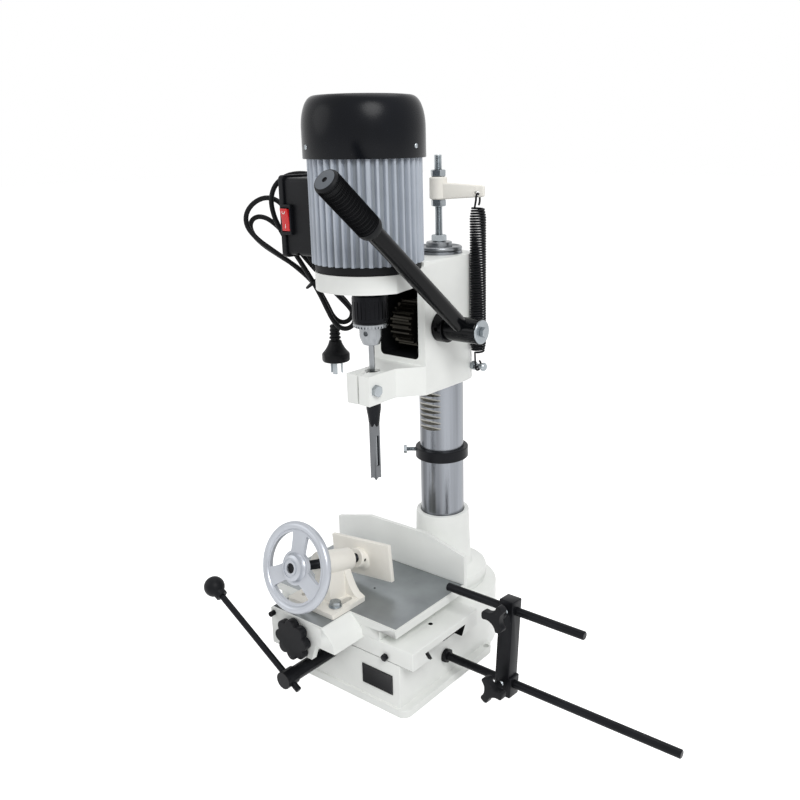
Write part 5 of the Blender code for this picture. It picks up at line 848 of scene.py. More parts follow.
class MORTISER_OT_motor(bpy.types.Operator):
    """Finned motor housing with its end bell, its fan cover and the cover's screws"""

    bl_idname = "mortiser.motor"
    bl_label = "Motor"

    def execute(self, context):
        self.housing(context.scene.mortiser_sizes.motor_fins)
        low, high, foot = 543.3, 552.7, 532.3
        bell = [(23.7, foot), (23.7, low), (61.2, low), (62.5, low + 1.2), (62.5, high), (25, high)]
        bell += [(25, 559), (20.4, 559), (20.4, low + 0.4), (14.3, low + 0.4), (14.3, foot)]
        bell = turned("end_bell", in_mm(bell), SPINDLE, steps=96)
        finish(bell, "crackle_black", "head", "motor_lower_bell")
        self.cover()
        return {"FINISHED"}

    def housing(self, fins):
        """A tube whose fins widen to their roots, with one broad fin at the joint line."""
        root, tip = 61.5 * MM, 66 * MM
        toe, crest = root + 1.2 * MM, tip - 0.8 * MM
        broad = fins * 7 // 8
        outline = []
        for i in range(fins):
            middle = 360 / fins * i
            half = 360 / fins * (0.34 if i == broad else 0.25)
            flank = ((root, 1.2), (toe, 1.0), (crest, 0.72), (tip, 0.45))
            outline += [(radius, middle - half * share) for radius, share in flank]
            outline += [(radius, middle + half * share) for radius, share in reversed(flank)]
            outline.append((root - 0.25 * MM, middle + 180 / fins))
        points = [polar(radius, math.radians(turn)) for radius, turn in outline]
        housing = placed(plate("finned_housing", points, "Z", 0.553, 0.670), SPINDLE)
        inside = bore(54.5 * MM, 0.549, 0.661, SPINDLE, steps=72)
        carved(housing, inside, bore(9 * MM, 0.650, 0.680, SPINDLE, steps=32))
        finish(housing, "motor_enamel", "head", "motor_housing", angle=28)

        # Painted shade: the faces at the fins' roots take the darker enamel
        def valley(face):
            return abs(face.normal.z) < 0.5 and (face.center - SPINDLE).xy.length < root + 0.3 * MM

        painted(housing, "motor_valley", valley)

    def cover(self):
        """A deep round cap with a recessed grille of curved slots, held by three screws."""
        low, top, wall = 0.6703, 0.738, 2.2 * MM
        rim, recess = 52 * MM, top - 6 * MM
        shoulder = []
        for i in range(17):
            turn = math.pi / 2 * i / 16
            radius = 54.2 * MM + 16.2 * MM * math.cos(turn) ** 0.9
            shoulder.append((radius, 0.703 + 35 * MM * math.sin(turn)))
        outside = [(69.9 * MM, low), (70.4 * MM, low + 0.6 * MM), *shoulder, (rim + 0.5 * MM, top)]
        outside += [(rim, top - 0.8 * MM), (rim - 0.4 * MM, recess + MM), (rim - 1.6 * MM, recess)]
        hub = [(15 * MM, recess), (14 * MM, recess + 1.4 * MM), (0, recess + 1.6 * MM)]
        inside = [(0, recess - wall), (rim - wall, recess - wall)]
        inside += [(radius - wall, height - wall) for radius, height in reversed(shoulder[:-1])]
        inside += [(68.2 * MM, low + wall), (59.3 * MM, low + wall), (59.3 * MM, low)]
        cover = turned("fan_cover_shell", [*outside, *hub, *inside], SPINDLE, steps=96)
        slots = []
        for inner, outer in ((19, 26), (29, 36), (39, 46)):
            shape = arc((0, 0), inner * MM, -19, 19, 8)
            shape += reversed(arc((0, 0), outer * MM, -19.5, 19.5, 8))
            slots.append(plate("slot", shape, "Z", recess - 2 * wall, recess + 4 * MM))
        cutter = placed(gathered("slots", slots), SPINDLE)
        carved(cover, gathered("slots", copies(cutter, 8, SPINDLE)))
        finish(cover, "satin_black_steel", "head", "fan_cover", angle=40)
        dome = core(*in_mm([(2.9, -0.6), (2.9, 0.3), (2.5, 1.0), (1.7, 1.6), (0.8, 1.9)]))
        long, short, deep = (-2 * MM, 2 * MM), (-0.3 * MM, 0.3 * MM), (1.1 * MM, 3 * MM)
        screws = []
        for turn in (-114, 6, 126):
            out = heading(turn)
            cross = [block("slot", short, long, deep), block("slot", long, short, deep)]
            head = carved(turned("screw", dome, steps=32), *cross)
            screws.append(placed(head, SPINDLE + out * 70.2 * MM + Z_AXIS * 0.6830, out))
        finish(gathered("cover_screws", screws), "zinc_plate", "head")


def dressed(name, look):
    """A better finish for a small solid that is shown as it was packed."""
    node = frame["nodes"][name]
    node.data.materials.clear()
    node.data.materials.append(material(look))


def bolt(name, body, node, shank, flats, washer, place, along, low):
    """A hexagon bolt with its washer, its seat at the place and its head the way it points."""
    thick = 1.5 * MM if washer else 0.0
    head_share = 0.42
    head = hex_head("bolt_head", flats, thick, thick + flats * head_share)
    shells = [head, threaded("bolt_shank", shank, low, thick + 0.2 * MM, 1.0 * MM, 20)]
    if washer:
        shells.append(pipe("bolt_washer", washer, shank * 0.8, 0, thick, edge=0.3 * MM, steps=40))
    piece = placed(gathered(name, shells), place, along)
    return finish(piece, "zinc_plate", body, node, angle=HEXAGON_ANGLE)


def dovetail(name, axis, near, far, slant, low, high, start, end):
    """A bar that widens upwards, which a sliding casting hooks under."""
    root = low - 4 * MM
    outline = [(near + slant, root), (far - slant, root), (far - slant, low)]
    outline += [(far, high), (near, high), (near + slant, low)]
    return plate(name, outline, axis, start, end)


class MORTISER_OT_base(bpy.types.Operator):
    """Hollow base casting with its foot, its dovetail and its bare nameplate"""

    bl_idname = "mortiser.base"
    bl_label = "Base"

    def execute(self, context):
        edge = context.scene.mortiser_sizes.casting_edge
        half, top, room, ceiling, pedestal_front = 0.083, 0.071, 0.073, 0.061, -0.0625
        rear_centre = (0, -0.013)
        rear = arc(rear_centre, half, 0, 180, 44)
        body = plate("base_body", [(half, BASE_FRONT), *rear, (-half, BASE_FRONT)], "Z", 0.002, top)
        outline = [(half, pedestal_front), *rear, (-half, pedestal_front)]
        raised = plate("pedestal", outline, "Z", 0.050, 0.085)
        foot = plate("foot", rounded((-0.094, -0.2025), (0.094, -0.008), 0.012), "Z", 0, 0.011)
        softened(fused(body, raised, foot), edge, 4)
        slide = dovetail("slide", "X", -0.168, -0.092, 0.0075, top, 0.0844, -half, half)
        fused(body, softened(slide, 0.4 * MM, 2))
        hollow = block("hollow", (-room, room), (-0.189, pedestal_front), (-0.01, ceiling))
        rear_hollow = bore(room, -0.01, ceiling, (*rear_centre, 0), steps=64)
        carved(rear_hollow, bore(0.040, -0.02, 0.08, steps=64))
        slot = block("slot", (-0.0555, -0.0115), (-0.189, -0.1746), (0.057, 0.075))
        groove = block("groove", (-0.090, 0.050), (-0.1876, -0.1746), (0.067, 0.075))
        shaft_place = (TRAVEL_HUB.x, BASE_FRONT, TRAVEL_HUB.z)
        shaft = round_bar("shaft", 9.7 * MM, -0.004, 0.014, shaft_place, Y_AXIS)
        rod = round_bar("rod", STOP_ROD_BORE, 0.0727, 0.090, (0, STOP_Y, STOP_LOWER_Z), X_AXIS)
        ears = [round_bar("ear", 4.2 * MM, -0.01, 0.02, (x, -0.020, 0)) for x in (-0.0885, 0.0885)]
        side_slot = block("side_slot", (0.077, 0.084), (-0.1105, -0.0775), (0.0612, 0.0674))
        carved(body, hollow, rear_hollow, slot, groove, shaft, rod, side_slot, *ears)
        finish(body, "cast_iron_enamel", "base", "base_casting")

        # Painted shade, partly real: the slide's flanks are bare oiled iron, drawn dark as the shade in its
        # gaps; the side slot is painted dark as shade
        def oiled_and_shaded(face):
            on_slide = within(face, y=(-0.1682, -0.0905), z=(0.0716, 0.0846)) and abs(face.normal.x) < 0.5
            shaded_slot = within(face, (0.0765, 0.0829), (-0.111, -0.077), (0.0611, 0.0675))
            return on_slide or shaded_slot

        painted(body, "oiled_iron", oiled_and_shaded)
        sign = block("bare_nameplate", (0.022, 0.072), (-0.2003, -0.1993), (0.0265, 0.0535))
        edit(sign, lambda face: face.normal.y < -0.9)
        bpy.ops.mesh.inset(thickness=0.7 * MM)
        bpy.ops.mesh.inset(thickness=0.3 * MM, depth=-0.15 * MM)
        finish(softened(sign, 0.2 * MM, 2), "anodised_black", "base", "nameplate")
        return {"FINISHED"}


class MORTISER_OT_slides(bpy.types.Operator):
    """Saddle, table with its apron, fence, and the small fittings of the two slides"""

    bl_idname = "mortiser.slides"
    bl_label = "Saddle, table and fence"

    def execute(self, context):
        edge = context.scene.mortiser_sizes.casting_edge * 0.7
        self.saddle(edge)
        self.table(edge)
        outline = [(-0.148, 0.108), (0.080, 0.108), (0.080, 0.160), (0.018, 0.176)]
        outline += [(-0.086, 0.176), (-0.148, 0.160)]
        fence = plate("fence_plate", outline, "Y", -0.0592, -0.0532)
        seat = block("seat", (-0.2, 0.2), (-0.063, -0.0587), (0.100, TABLE_TOP + 0.3 * MM))
        softened(carved(fence, seat), 0.9 * MM, 3)
        finish(fence, "cast_iron_enamel", "table", "fence")
        dressed("saddle_gib", "oiled_iron")
        dressed("travel_rack", "tool_steel")
        dressed("feed_screw", "ground_steel")
        return {"FINISHED"}

    def saddle(self, edge):
        """The lower slide, which hooks over the base's dovetail and carries the table's."""
        oil_x, oil_y, oil_radius = 0.0784, -0.1304, 3.1 * MM
        gib_place = (0.062, 0, 0.077)
        saddle = block("saddle_body", (-0.090, 0.105), (BASE_FRONT, SLIDES_REAR), (SADDLE_BOTTOM, SADDLE_TOP))
        softened(saddle, edge, 4)
        rail = dovetail("rail", "Y", -0.092, 0.022, 0.0075, SADDLE_TOP, 0.1074, BASE_FRONT, SLIDES_REAR)
        fused(saddle, softened(rail, 0.3 * MM, 2))
        root, roof = SADDLE_BOTTOM - MM * 4, 0.085
        groove = [(-0.1677, root), (-0.0989, root), (-0.0989, SADDLE_BOTTOM), (-0.0914, roof)]
        groove += [(-0.1752, roof), (-0.1677, SADDLE_BOTTOM)]
        way = plate("way", groove, "X", -0.1, 0.12)
        rack = block("rack", (-0.0843, 0.0063), (-0.1873, -0.1749), (0.06, 0.0793))
        screw = bore(4.5 * MM, -0.205, -0.1005, FEED_AXIS, Y_AXIS, steps=32)
        gib = bore(2.8 * MM, -0.205, -0.168, gib_place, Y_AXIS, steps=24)
        oil = bore(oil_radius, 0.0869, 0.1, (oil_x, oil_y, 0), steps=32)
        carved(saddle, way, rack, screw, gib, oil)
        finish(saddle, "cast_iron_enamel", "saddle", "saddle_casting")

        # Painted shade, partly real: the way's and rail's flanks are bare oiled iron, drawn dark as the shade
        # in their gaps; the oil hole and the strip under the front lip are painted shade
        def oiled_and_shaded(face):
            x, y, z = face.center
            upright = abs(face.normal.x) > 0.5
            in_way = within(face, y=(-0.1755, -0.0912), z=(0.0715, 0.0902)) and not upright
            on_rail = within(face, x=(-0.0925, 0.0225), z=(0.0952, 0.1073)) and upright
            shaded_oil_hole = math.hypot(x - oil_x, y - oil_y) < oil_radius + 0.05 * MM and z < 0.0949
            shade_under_lip = z < 0.0725 and face.normal.z < -0.5 and y < -0.19
            return in_way or on_rail or shaded_oil_hole or shade_under_lip

        painted(saddle, "oiled_iron", oiled_and_shaded)
        head = hex_head("gib_head", 8 * MM, 0.0, 5 * MM)
        stem = threaded("gib_stem", 2.5 * MM, -0.0235, 0.0002, MM, 20)
        pin = placed(gathered("gib_bolt", [head, stem]), (gib_place[0], -0.1993, gib_place[2]), -Y_AXIS)
        finish(pin, "black_oxide", "saddle", "gib_screw")

    def table(self, edge):
        """The upper slide: a ground slab on two skirts, with a hooked apron at its front."""
        bolt_x, bolt_y = -0.012, -0.2085
        mark_x, mark_y = -0.0113, -0.1353
        table = block("table_slab", (-0.148, 0.080), (BASE_FRONT, -0.0595), (0.108, TABLE_TOP))
        outside = [(-0.086, TABLE_TOP), (-0.086, 0.069), (-0.016, 0.069), (-0.008, 0.091), (0.025, 0.091)]
        outside += [(0.022, 0.102), (0.013, 0.112), (0.004, TABLE_TOP)]
        apron = plate("apron", outside, "Y", -0.250, -0.195)
        inside = [(-0.078, 0.111), (-0.078, 0.06), (-0.016, 0.06), (0.017, 0.08), (-0.004, 0.111)]
        carved(apron, plate("room", inside, "Y", -0.242, -0.1992))
        low, high = 0.0953, 0.110
        skirts = []
        for outer, inner, lean in ((-0.122, -0.0848, -0.0075), (0.052, 0.0148, 0.0075)):
            flank = inner + lean
            outline = [(outer, low), (inner, low), (flank, 0.1077), (flank, high), (outer, high)]
            skirts.append(plate("skirt", outline, "Y", BASE_FRONT, SLIDES_REAR))
        shelf = block("shelf", (-0.086, 0.004), (-0.246, -0.195), (0.108, TABLE_TOP))
        fused(table, apron, shelf, *skirts)
        softened(table, edge, 3)
        screw = bore(4.5 * MM, -0.254, -0.238, FEED_AXIS, Y_AXIS, steps=32)
        hole = bore(4.3 * MM, 0.1097, 0.123, (bolt_x, bolt_y, 0), steps=32)
        mark = bore(1.6 * MM, 0.116, 0.123, (mark_x, mark_y, 0), steps=24)
        carved(table, screw, hole, mark)
        left, lip_end, right, seam, lip = -0.1458, 0.0020, 0.0778, -0.1975, -0.2465
        cuts = [((x, 0, 0), X_AXIS) for x in (left, lip_end, right)]
        cuts += [((0, y, 0), Y_AXIS) for y in (seam, lip)]
        for point, normal in cuts:
            edit(table)
            bpy.ops.mesh.bisect(plane_co=point, plane_no=normal)
        finish(table, "cast_iron_enamel", "table", "table_casting")

        def ground(face):
            x, y, z = face.center
            end = right if y > seam else lip_end
            return face.normal.z > 0.99 and z > TABLE_TOP - 0.5 * MM and left < x < end and y > lip

        # Painted shade, partly real: the skirts' flanks beside the rail are bare oiled iron, drawn dark as
        # the shade in their gap; the mark's hole is painted shade
        def oiled_and_shaded(face):
            x, y, z = face.center
            on_skirt = within(face, y=(-0.1995, 0), z=(0.0955, 0.1077)) and abs(face.normal.x) > 0.5
            beside_rail = 0.0143 < x < 0.0228 or -0.0928 < x < -0.0843
            shaded_mark = math.hypot(x - mark_x, y - mark_y) < 2.2 * MM and z < TABLE_TOP - 0.1 * MM
            return (on_skirt and beside_rail) or shaded_mark

        painted(table, "ground_iron", ground)
        painted(table, "oiled_iron", oiled_and_shaded)
        seat = (bolt_x, bolt_y, 0.1261)
        bolt("clamp_bolt", "table", "bracket_bolt", 4 * MM, 13 * MM, 8.5 * MM, seat, Z_AXIS, -0.016)
        cap = pipe("apron_screw", 3.4 * MM, 1.5 * MM, 0, 7.5 * MM, edge=0.4 * MM, steps=32)
        fused(cap, round_bar("floor", 2.0 * MM, -0.3 * MM, 5.0 * MM, steps=24))
        finish(placed(cap, (-0.080, -0.250, 0.1135), -Y_AXIS), "black_oxide", "table")
        plug_place = (-0.0637, -0.2405, TABLE_TOP)
        plug = round_bar("apron_pin", 3.2 * MM, -0.5 * MM, 0.12 * MM, plug_place, edge=0.1 * MM)
        finish(plug, "bright_steel", "table")


class MORTISER_OT_clamp(bpy.types.Operator):
    """Clamp bracket with its handwheel, screw and pad"""

    bl_idname = "mortiser.clamp"
    bl_label = "Work clamp"

    def execute(self, context):
        edge = context.scene.mortiser_sizes.casting_edge
        low, high, join, web_foot = 0.1193, 0.1258, 0.1196, 0.1262
        left, flare, rise = -0.0775, 0.0270, 0.044
        foot = rounded((-0.079, -0.227), (0.0015, -0.167), 2 * MM, 4)
        bracket = plate("bracket_foot", foot, "Z", low, high)
        shares = [i / 14 for i in range(15)]
        web = [(left, join)]
        web += [(left + flare * s**0.5, web_foot + rise * s) for s in shares]
        web += [(-flare * (1 - s) ** 0.5, web_foot + rise * (1 - s)) for s in shares]
        web.append((0.0, join))
        wall = plate("web", web, "Y", -0.1785, -0.1675)
        post = [(-0.0505, join), (-0.0215, join), (-0.0240, 0.1636), (-0.0480, 0.1636)]
        upright = plate("upright", post, "Y", -0.206, -0.170)
        barrel = round_bar("barrel", 15.5 * MM, 0.040, 0.092, *CLAMP, 0, 64)
        fused(bracket, wall, upright, barrel)
        softened(bracket, edge * 0.8, 3)
        cutters = [bore(CLAMP_BORE, 0.030, 0.105, *CLAMP, 40)]
        half_slot = 4.3 * MM
        for x in (-0.012, -0.0655):
            slot = rounded((x - half_slot, -0.214), (x + half_slot, -0.180), 4.29 * MM, 8)
            cutters.append(plate("slot", slot, "Z", 0.11, 0.13))
        finish(carved(bracket, *cutters), "cream_enamel", "bracket", "clamp_bracket")
        self.wheel()
        self.pad(edge)
        return {"FINISHED"}

    def wheel(self):
        """A round rim on a thin web with three kidney gaps, and the screw that it turns."""
        section = [(0.051 + 5.5 * MM * a, 5.5 * MM * b) for a, b in arc((0, 0), 1, 0, 345, 23)]
        wheel = turned("wheel_casting", section, steps=96)
        web = round_bar("web", 0.0495, -2.6 * MM, 2.6 * MM, steps=96)
        gaps = []
        for middle in (90, 210, 330):
            outline = arc((0, 0), 0.0435, middle - 45, middle + 45, 24)
            outline += reversed(arc((0, 0), 0.0215, middle - 32, middle + 32, 14))
            gaps.append(plate("gap", eased(outline, 3), "Z", -8 * MM, 8 * MM))
        carved(web, *gaps)
        softened(web, 1.3 * MM, 3)
        hub = [(0.013, -0.010), (0.0158, -0.0085), (0.016, -0.006), (0.019, -0.002), (0.019, 0.002)]
        hub += [(0.016, 0.006), (0.0158, 0.0085), (0.0142, 0.010)]
        fused(wheel, web, turned("hub", core(*hub), steps=64))
        ring_cut = pipe("ring", 0.0118, 0.0093, -0.0115, -0.0092, steps=64)
        carved(wheel, ring_cut, bore(CLAMP_BORE, -0.012, 0.012, steps=48))
        finish(placed(wheel, *CLAMP), "wheel_enamel", "wheel", "handwheel", angle=40)
        screw = threaded("clamp_thread", 6 * MM, -0.0085, 0.119, 1.75 * MM, 32)
        finish(placed(screw, *CLAMP), "tempered_black", "wheel", "clamp_screw")

    def pad(self, edge):
        """A plate with a turned boss on the screw's end, and the set screw that holds it."""
        centre = CLAMP_ORIGIN + CLAMP_DIRECTION * 0.123
        pad = block("pad_plate", (-0.051, 0.051), (-3 * MM, 3 * MM), (-0.0255, 0.0255))
        softened(pad, edge * 0.6, 3)
        pad.data.transform(Matrix.Translation(centre) @ Matrix.Rotation(math.radians(-5.5), 4, "Y"))
        flare = in_mm([(12.0, 108), (13.0, 109), (13.2, 117.5), (14.4, 120), (17.0, 122.4)])
        fused(pad, turned("boss", core(*flare), *CLAMP, 64))
        carved(pad, bore(CLAMP_BORE, 0.10, 0.1193, *CLAMP, 40))
        hole = CLAMP_ORIGIN + CLAMP_DIRECTION * 0.1135
        carved(pad, bore(2.2 * MM, 8 * MM, 15 * MM, hole, X_AXIS, 24))
        finish(pad, "cream_enamel", "pad", "clamp_pad")
        screw = round_bar("pad_set_screw", 2.1 * MM, 8.2 * MM, 12.4 * MM, hole, X_AXIS, 0.2 * MM, 24)
        finish(screw, "oiled_iron", "pad")


class MORTISER_OT_column(bpy.types.Operator):
    """Column in its socket, with the depth collar below and the spring's arm on top"""

    bl_idname = "mortiser.column"
    bl_label = "Column"

    def execute(self, context):
        self.socket()
        self.column()
        self.top(context.scene.mortiser_sizes.thread_pitch)
        collar = pipe("depth_collar_ring", 0.0363, COLUMN_BORE, 0.2685, 0.2835, edge=0.8 * MM, steps=96)
        out = -heading(PHOTO_HEADING)
        middle = Vector((0, 0, 0.278))
        carved(collar, bore(3.3 * MM, 0.026, 0.040, middle, out, 32))
        finish(collar, "black_oxide", "depth_collar", "depth_stop_collar")
        seat = middle + out * 0.0485
        bolt("collar_screw", "depth_collar", "collar_bolt", 3 * MM, 10 * MM, 0, seat, out, -0.018)
        return {"FINISHED"}

    def socket(self):
        """The flanged sleeve that holds the column, and its two set-screw holes."""
        flange = [(59.5, 85.3), (59.5, 90.8), (60.8, 91.4), (61.5, 92.6), (61.5, 103.0)]
        flange += [(60.6, 105.2), (58.6, 106.0), (44.5, 107.2), (41.2, 109.2), (39.6, 113.0)]
        flange += [(37.2, 188.0), (36.6, 189.6), (35.5, 190.0), (31.1, 190.0), (30.3, 189.2)]
        flange += [(30.3, 89.0), (21.0, 89.0), (21.0, 85.3)]
        socket = turned("column_flange", in_mm(flange), steps=96)
        way = heading(PHOTO_HEADING)
        screw_place, second_place = (0, 0, 0.168), (0, 0, 0.1575)
        holes = [bore(3.3 * MM, 0.028, 0.045, screw_place, way, 32)]
        holes.append(bore(3.0 * MM, 0.0335, 0.045, second_place, way, 32))
        finish(carved(socket, *holes), "cast_iron_enamel", "base", "column_socket")
        screw = round_bar("grub_screw", 3 * MM, COLUMN_BORE, 0.0376, edge=0.3 * MM, steps=32)
        carved(screw, plate("key", hexagon(3 * MM), "Z", 0.035, 0.045))
        finish(placed(screw, screw_place, way), "black_oxide", "base", "socket_screw")

    def column(self):
        """A ground bar with the rack's teeth cut across its front."""
        column = round_bar("column_tube", COLUMN_RADIUS, 0.0895, 0.552, edge=MM, steps=96)
        carved(column, bore(5.3 * MM, 0.5267, 0.56, steps=24))
        module, pressure_angle, first_tooth = 2.5, 20, 19
        pitch = math.pi * module * MM
        depth = 2.25 * module * MM
        slope = math.tan(math.radians(pressure_angle))
        half = (pitch / 2 - depth * slope) / 2
        widen = (depth + 4 * MM) * slope
        inner, outer = -COLUMN_RADIUS + depth, -0.034
        grooves = []
        for i in range(25):
            middle = LEVER_AXIS.z + (i - first_tooth) * pitch
            outline = [(inner, middle - half), (outer, middle - half - widen)]
            outline += [(outer, middle + half + widen), (inner, middle + half)]
            grooves.append(plate("groove", outline, "X", -COLUMN_RADIUS, COLUMN_RADIUS))
        carved(column, gathered("grooves", grooves))
        # Painted reflection: the column's tone drifts in upright lighter and darker streaks
        finish(column, "column_steel", "base", "column")

        def toothed(face):
            return face.center.xy.length < 0.0295 and within(face, y=(-1, -0.010), z=(0.31, 0.52))

        painted(column, "milled_rack", toothed)

    def top(self, pitch):
        """The column's cap, its stud with three nuts, and the arm that the spring hangs from."""
        low, top = 0.5523, 0.5573
        dish = [(0.0290, low), (0.030, low + MM), (0.030, low + 3 * MM), (0.0295, low + 4.2 * MM)]
        dish += [(0.0283, top), (0.0268, top - 0.1 * MM), (0.0255, low + 3.6 * MM)]
        dish += [(0.0185, low + 3 * MM), (0.0170, low + 3.2 * MM)]
        dish += [(0.0168, 0.5618), (0.0160, 0.5627), (0.0053, 0.5627), (0.0053, low)]
        finish(turned("column_cap_disc", dish, steps=96), "steel_cap", "base", "column_cap")
        stud_radius, stud_bore = 5 * MM, 5.3 * MM
        stud = threaded("stud_thread", stud_radius, 0.527, 0.671, pitch)
        finish(stud, "zinc_plate", "base", "column_stud")
        for node, low in (("stud_nut", 0.563), ("arm_nut_lower", 0.6072), ("arm_nut_upper", 0.6443)):
            nut = hex_head(node + "_hex", 17 * MM, low, low + 8.5 * MM, stud_bore, chamfer_low=True)
            nut.data.transform(Matrix.Rotation(0.35 * len(node), 4, "Z"))
            finish(nut, "zinc_plate", "base", node, angle=HEXAGON_ANGLE)
        reach = math.hypot(SPRING_X, SPRING_Y)
        hub = round_bar("arm_hub", 11.5 * MM, 0.616, 0.644, edge=1.5 * MM, steps=64)
        arm = block("arm", (0, reach + 9 * MM), (-8 * MM, 8 * MM), (0.6155, 0.6375))
        for corner in arm.data.vertices:
            if corner.co.x > reach / 2:
                corner.co.y *= 3 / 8
                corner.co.z = 0.6265 + (corner.co.z - 0.6265) * 7 / 11
        softened(arm, 2.2 * MM, 4)
        arm.data.transform(Matrix.Rotation(SPRING_TURN, 4, "Z"))
        fused(hub, arm)
        eye = bore(3.4 * MM, -0.02, 0.02, ARM_EYE, SPRING_ACROSS, 32)
        carved(hub, bore(stud_bore, 0.61, 0.65, steps=32), eye)
        finish(hub, "cream_enamel", "base", "spring_arm", angle=40)


class MORTISER_OT_head(bpy.types.Operator):
    """Head casting with its window, its chisel holder and its two bolts"""

    bl_idname = "mortiser.head"
    bl_label = "Head casting"

    def execute(self, context):
        edge = context.scene.mortiser_sizes.casting_edge
        half, bottom, joint, face_y = 0.042, 0.382, -0.081, -0.085
        rear = arc((0, 0), half, 0, 180, 40)
        head = plate("head_body", [(half, face_y), *rear, (-half, face_y)], "Z", bottom, 0.548)
        front = arc(SPINDLE, 0.063, 198, 342, 40)
        shelf = plate("motor_plate", [(half, joint), (-half, joint), *front], "Z", 0.522, 0.543)
        jaw = [(half, joint), (-half, joint), (-half, face_y), (-0.018, -0.115), (-0.018, -0.164)]
        jaw += [(0.018, -0.164), (0.018, -0.115), (half, face_y)]
        fused(head, shelf, plate("jaw", jaw, "Z", bottom, 0.419))
        softened(head, edge, 4)
        holder = (0, -0.1525, HEAD_BOLT_Z)
        pin_place = (0, SPRING_Y, HEAD_BOLT_Z)
        carved(
            head,
            plate("window", rounded((-0.031, 0.426), (0.031, 0.518), 6 * MM), "Y", -0.090, -0.015),
            block("slit", (-1.5 * MM, 1.5 * MM), (-0.17, -0.137), (0.37, 0.43)),
            bore(COLUMN_BORE, 0.37, 0.56, steps=96),
            bore(0.024, 0.51, 0.55, SPINDLE, steps=64),
            bore(0.0631, 0.5431, 0.56, SPINDLE, steps=96),
            bore(9.5 * MM, 0.37, 0.43, SPINDLE, steps=48),
            bore(4.3 * MM, -0.05, 0.05, holder, X_AXIS, 32),
            bore(9.8 * MM, -0.05, 0.05, LEVER_AXIS, X_AXIS, 48),
            bore(3.8 * MM, 0.0302, 0.05, pin_place, X_AXIS, 32),
        )
        finish(head, "cast_iron_enamel", "head", "head_casting")

        # Painted shade: the window's inside faces are drawn in the black crackle finish, dark as the shade
        # inside the head
        def window_painted_shade(face):
            return within(face, (-0.0312, 0.0312), (-0.0849, -0.0145), (0.4255, 0.5185))

        painted(head, "crackle_black", window_painted_shade)
        seat = (0.0183, *holder[1:])
        bolt("holder_bolt", "head", "chisel_clamp_bolt", 4 * MM, 13 * MM, 0, seat, X_AXIS, -0.036)
        shank = round_bar("shank", 3.5 * MM, 0.0305, 0.060, steps=32)
        flange = turned("flange", core(*in_mm([(5.4, 58.5), (5.8, 59.0), (5.8, 60.5), (4.6, 62.2)])))
        nut = hex_head("nut", 11 * MM, 0.0423, 0.0468)
        pin = placed(gathered("spring_pin", [shank, flange, nut]), pin_place, X_AXIS)
        finish(pin, "zinc_plate", "head", "spring_bolt")
        return {"FINISHED"}


class MORTISER_OT_spindle(bpy.types.Operator):
    """Keyed chuck, auger and hollow chisel under the motor"""

    bl_idname = "mortiser.spindle"
    bl_label = "Chuck and chisel"

    def execute(self, context):
        self.chuck()
        self.chisel()
        dressed("auger_bit", "bright_steel")
        dressed("rotor_shaft", "ground_steel")
        dressed("motor_bearing", "bright_steel")
        dressed("stator_core", "winding_copper")
        dressed("cooling_fan", "moulded_black")
        return {"FINISHED"}

    def chuck(self):
        """A keyed chuck: a ribbed black sleeve over a toothed ring with three key holes."""
        profile = [(8.8, 514), (8.8, 493.7), (3.9, 493.7), (3.9, 452), (9.0, 452), (10.2, 452.6), (13.6, 461)]
        profile += [(14.0, 463), (14.0, 473.4), (20.2, 474), (21.2, 475.6), (21.2, 479), (20.6, 479.6)]
        profile += [(20.6, 481.4), (21.8, 482.2), (21.8, 509.5), (21.0, 512.4), (18.6, 514)]
        chuck = turned("keyed_chuck", in_mm(profile), steps=96)
        rib = block("rib", (-0.7 * MM, 0.7 * MM), (-23 * MM, -21 * MM), (0.4855, 0.5065))
        tooth = block("tooth", (-0.9 * MM, 0.9 * MM), (-23 * MM, -17.6 * MM), (0.470, 0.4768))
        key = bore(3.1 * MM, 9 * MM, 16 * MM, (0, 0, 0.4675), X_AXIS, 32)
        key.data.transform(Matrix.Rotation(math.radians(-75), 4, "Z"))
        for cutter, count in ((rib, 26), (tooth, 32), (key, 3)):
            carved(chuck, gathered("cutters", copies(cutter, count, (0, 0, 0))))
        finish(placed(chuck, SPINDLE), "tempered_black", "spindle", "drill_chuck")
        painted(chuck, "bright_steel", lambda face: face.center.z < 0.4797)

    def chisel(self):
        """A square hollow chisel on a turned neck, with a slot that lets the chips out."""
        body = block("chisel_body", (-4.75 * MM, 4.75 * MM), (-4.75 * MM, 4.75 * MM), (0.279, 0.360))
        softened(body, 0.25 * MM, 2)
        neck = in_mm([(5.0, 348), (6.9, 353.5), (7.6, 361), (9.2, 371), (9.2, 415.6), (8.8, 416)])
        fused(body, turned("neck", core(*neck), steps=40))
        tip = turned("tip", core((9.5 * MM, 0.275), (1.85 * MM, 0.2836)), steps=40)
        slot = block("slot", (0, 9.5 * MM), (-2.5 * MM, 2.5 * MM), (0.296, 0.336))
        carved(body, bore(3.7 * MM, 0.27, 0.42, steps=32), tip, softened(slot, 0.8 * MM, 3))
        finish(placed(body, SPINDLE), "tool_steel", "head", "hollow_chisel", angle=25)
        painted(body, "tempered_black", lambda face: face.center.z > 0.3485)


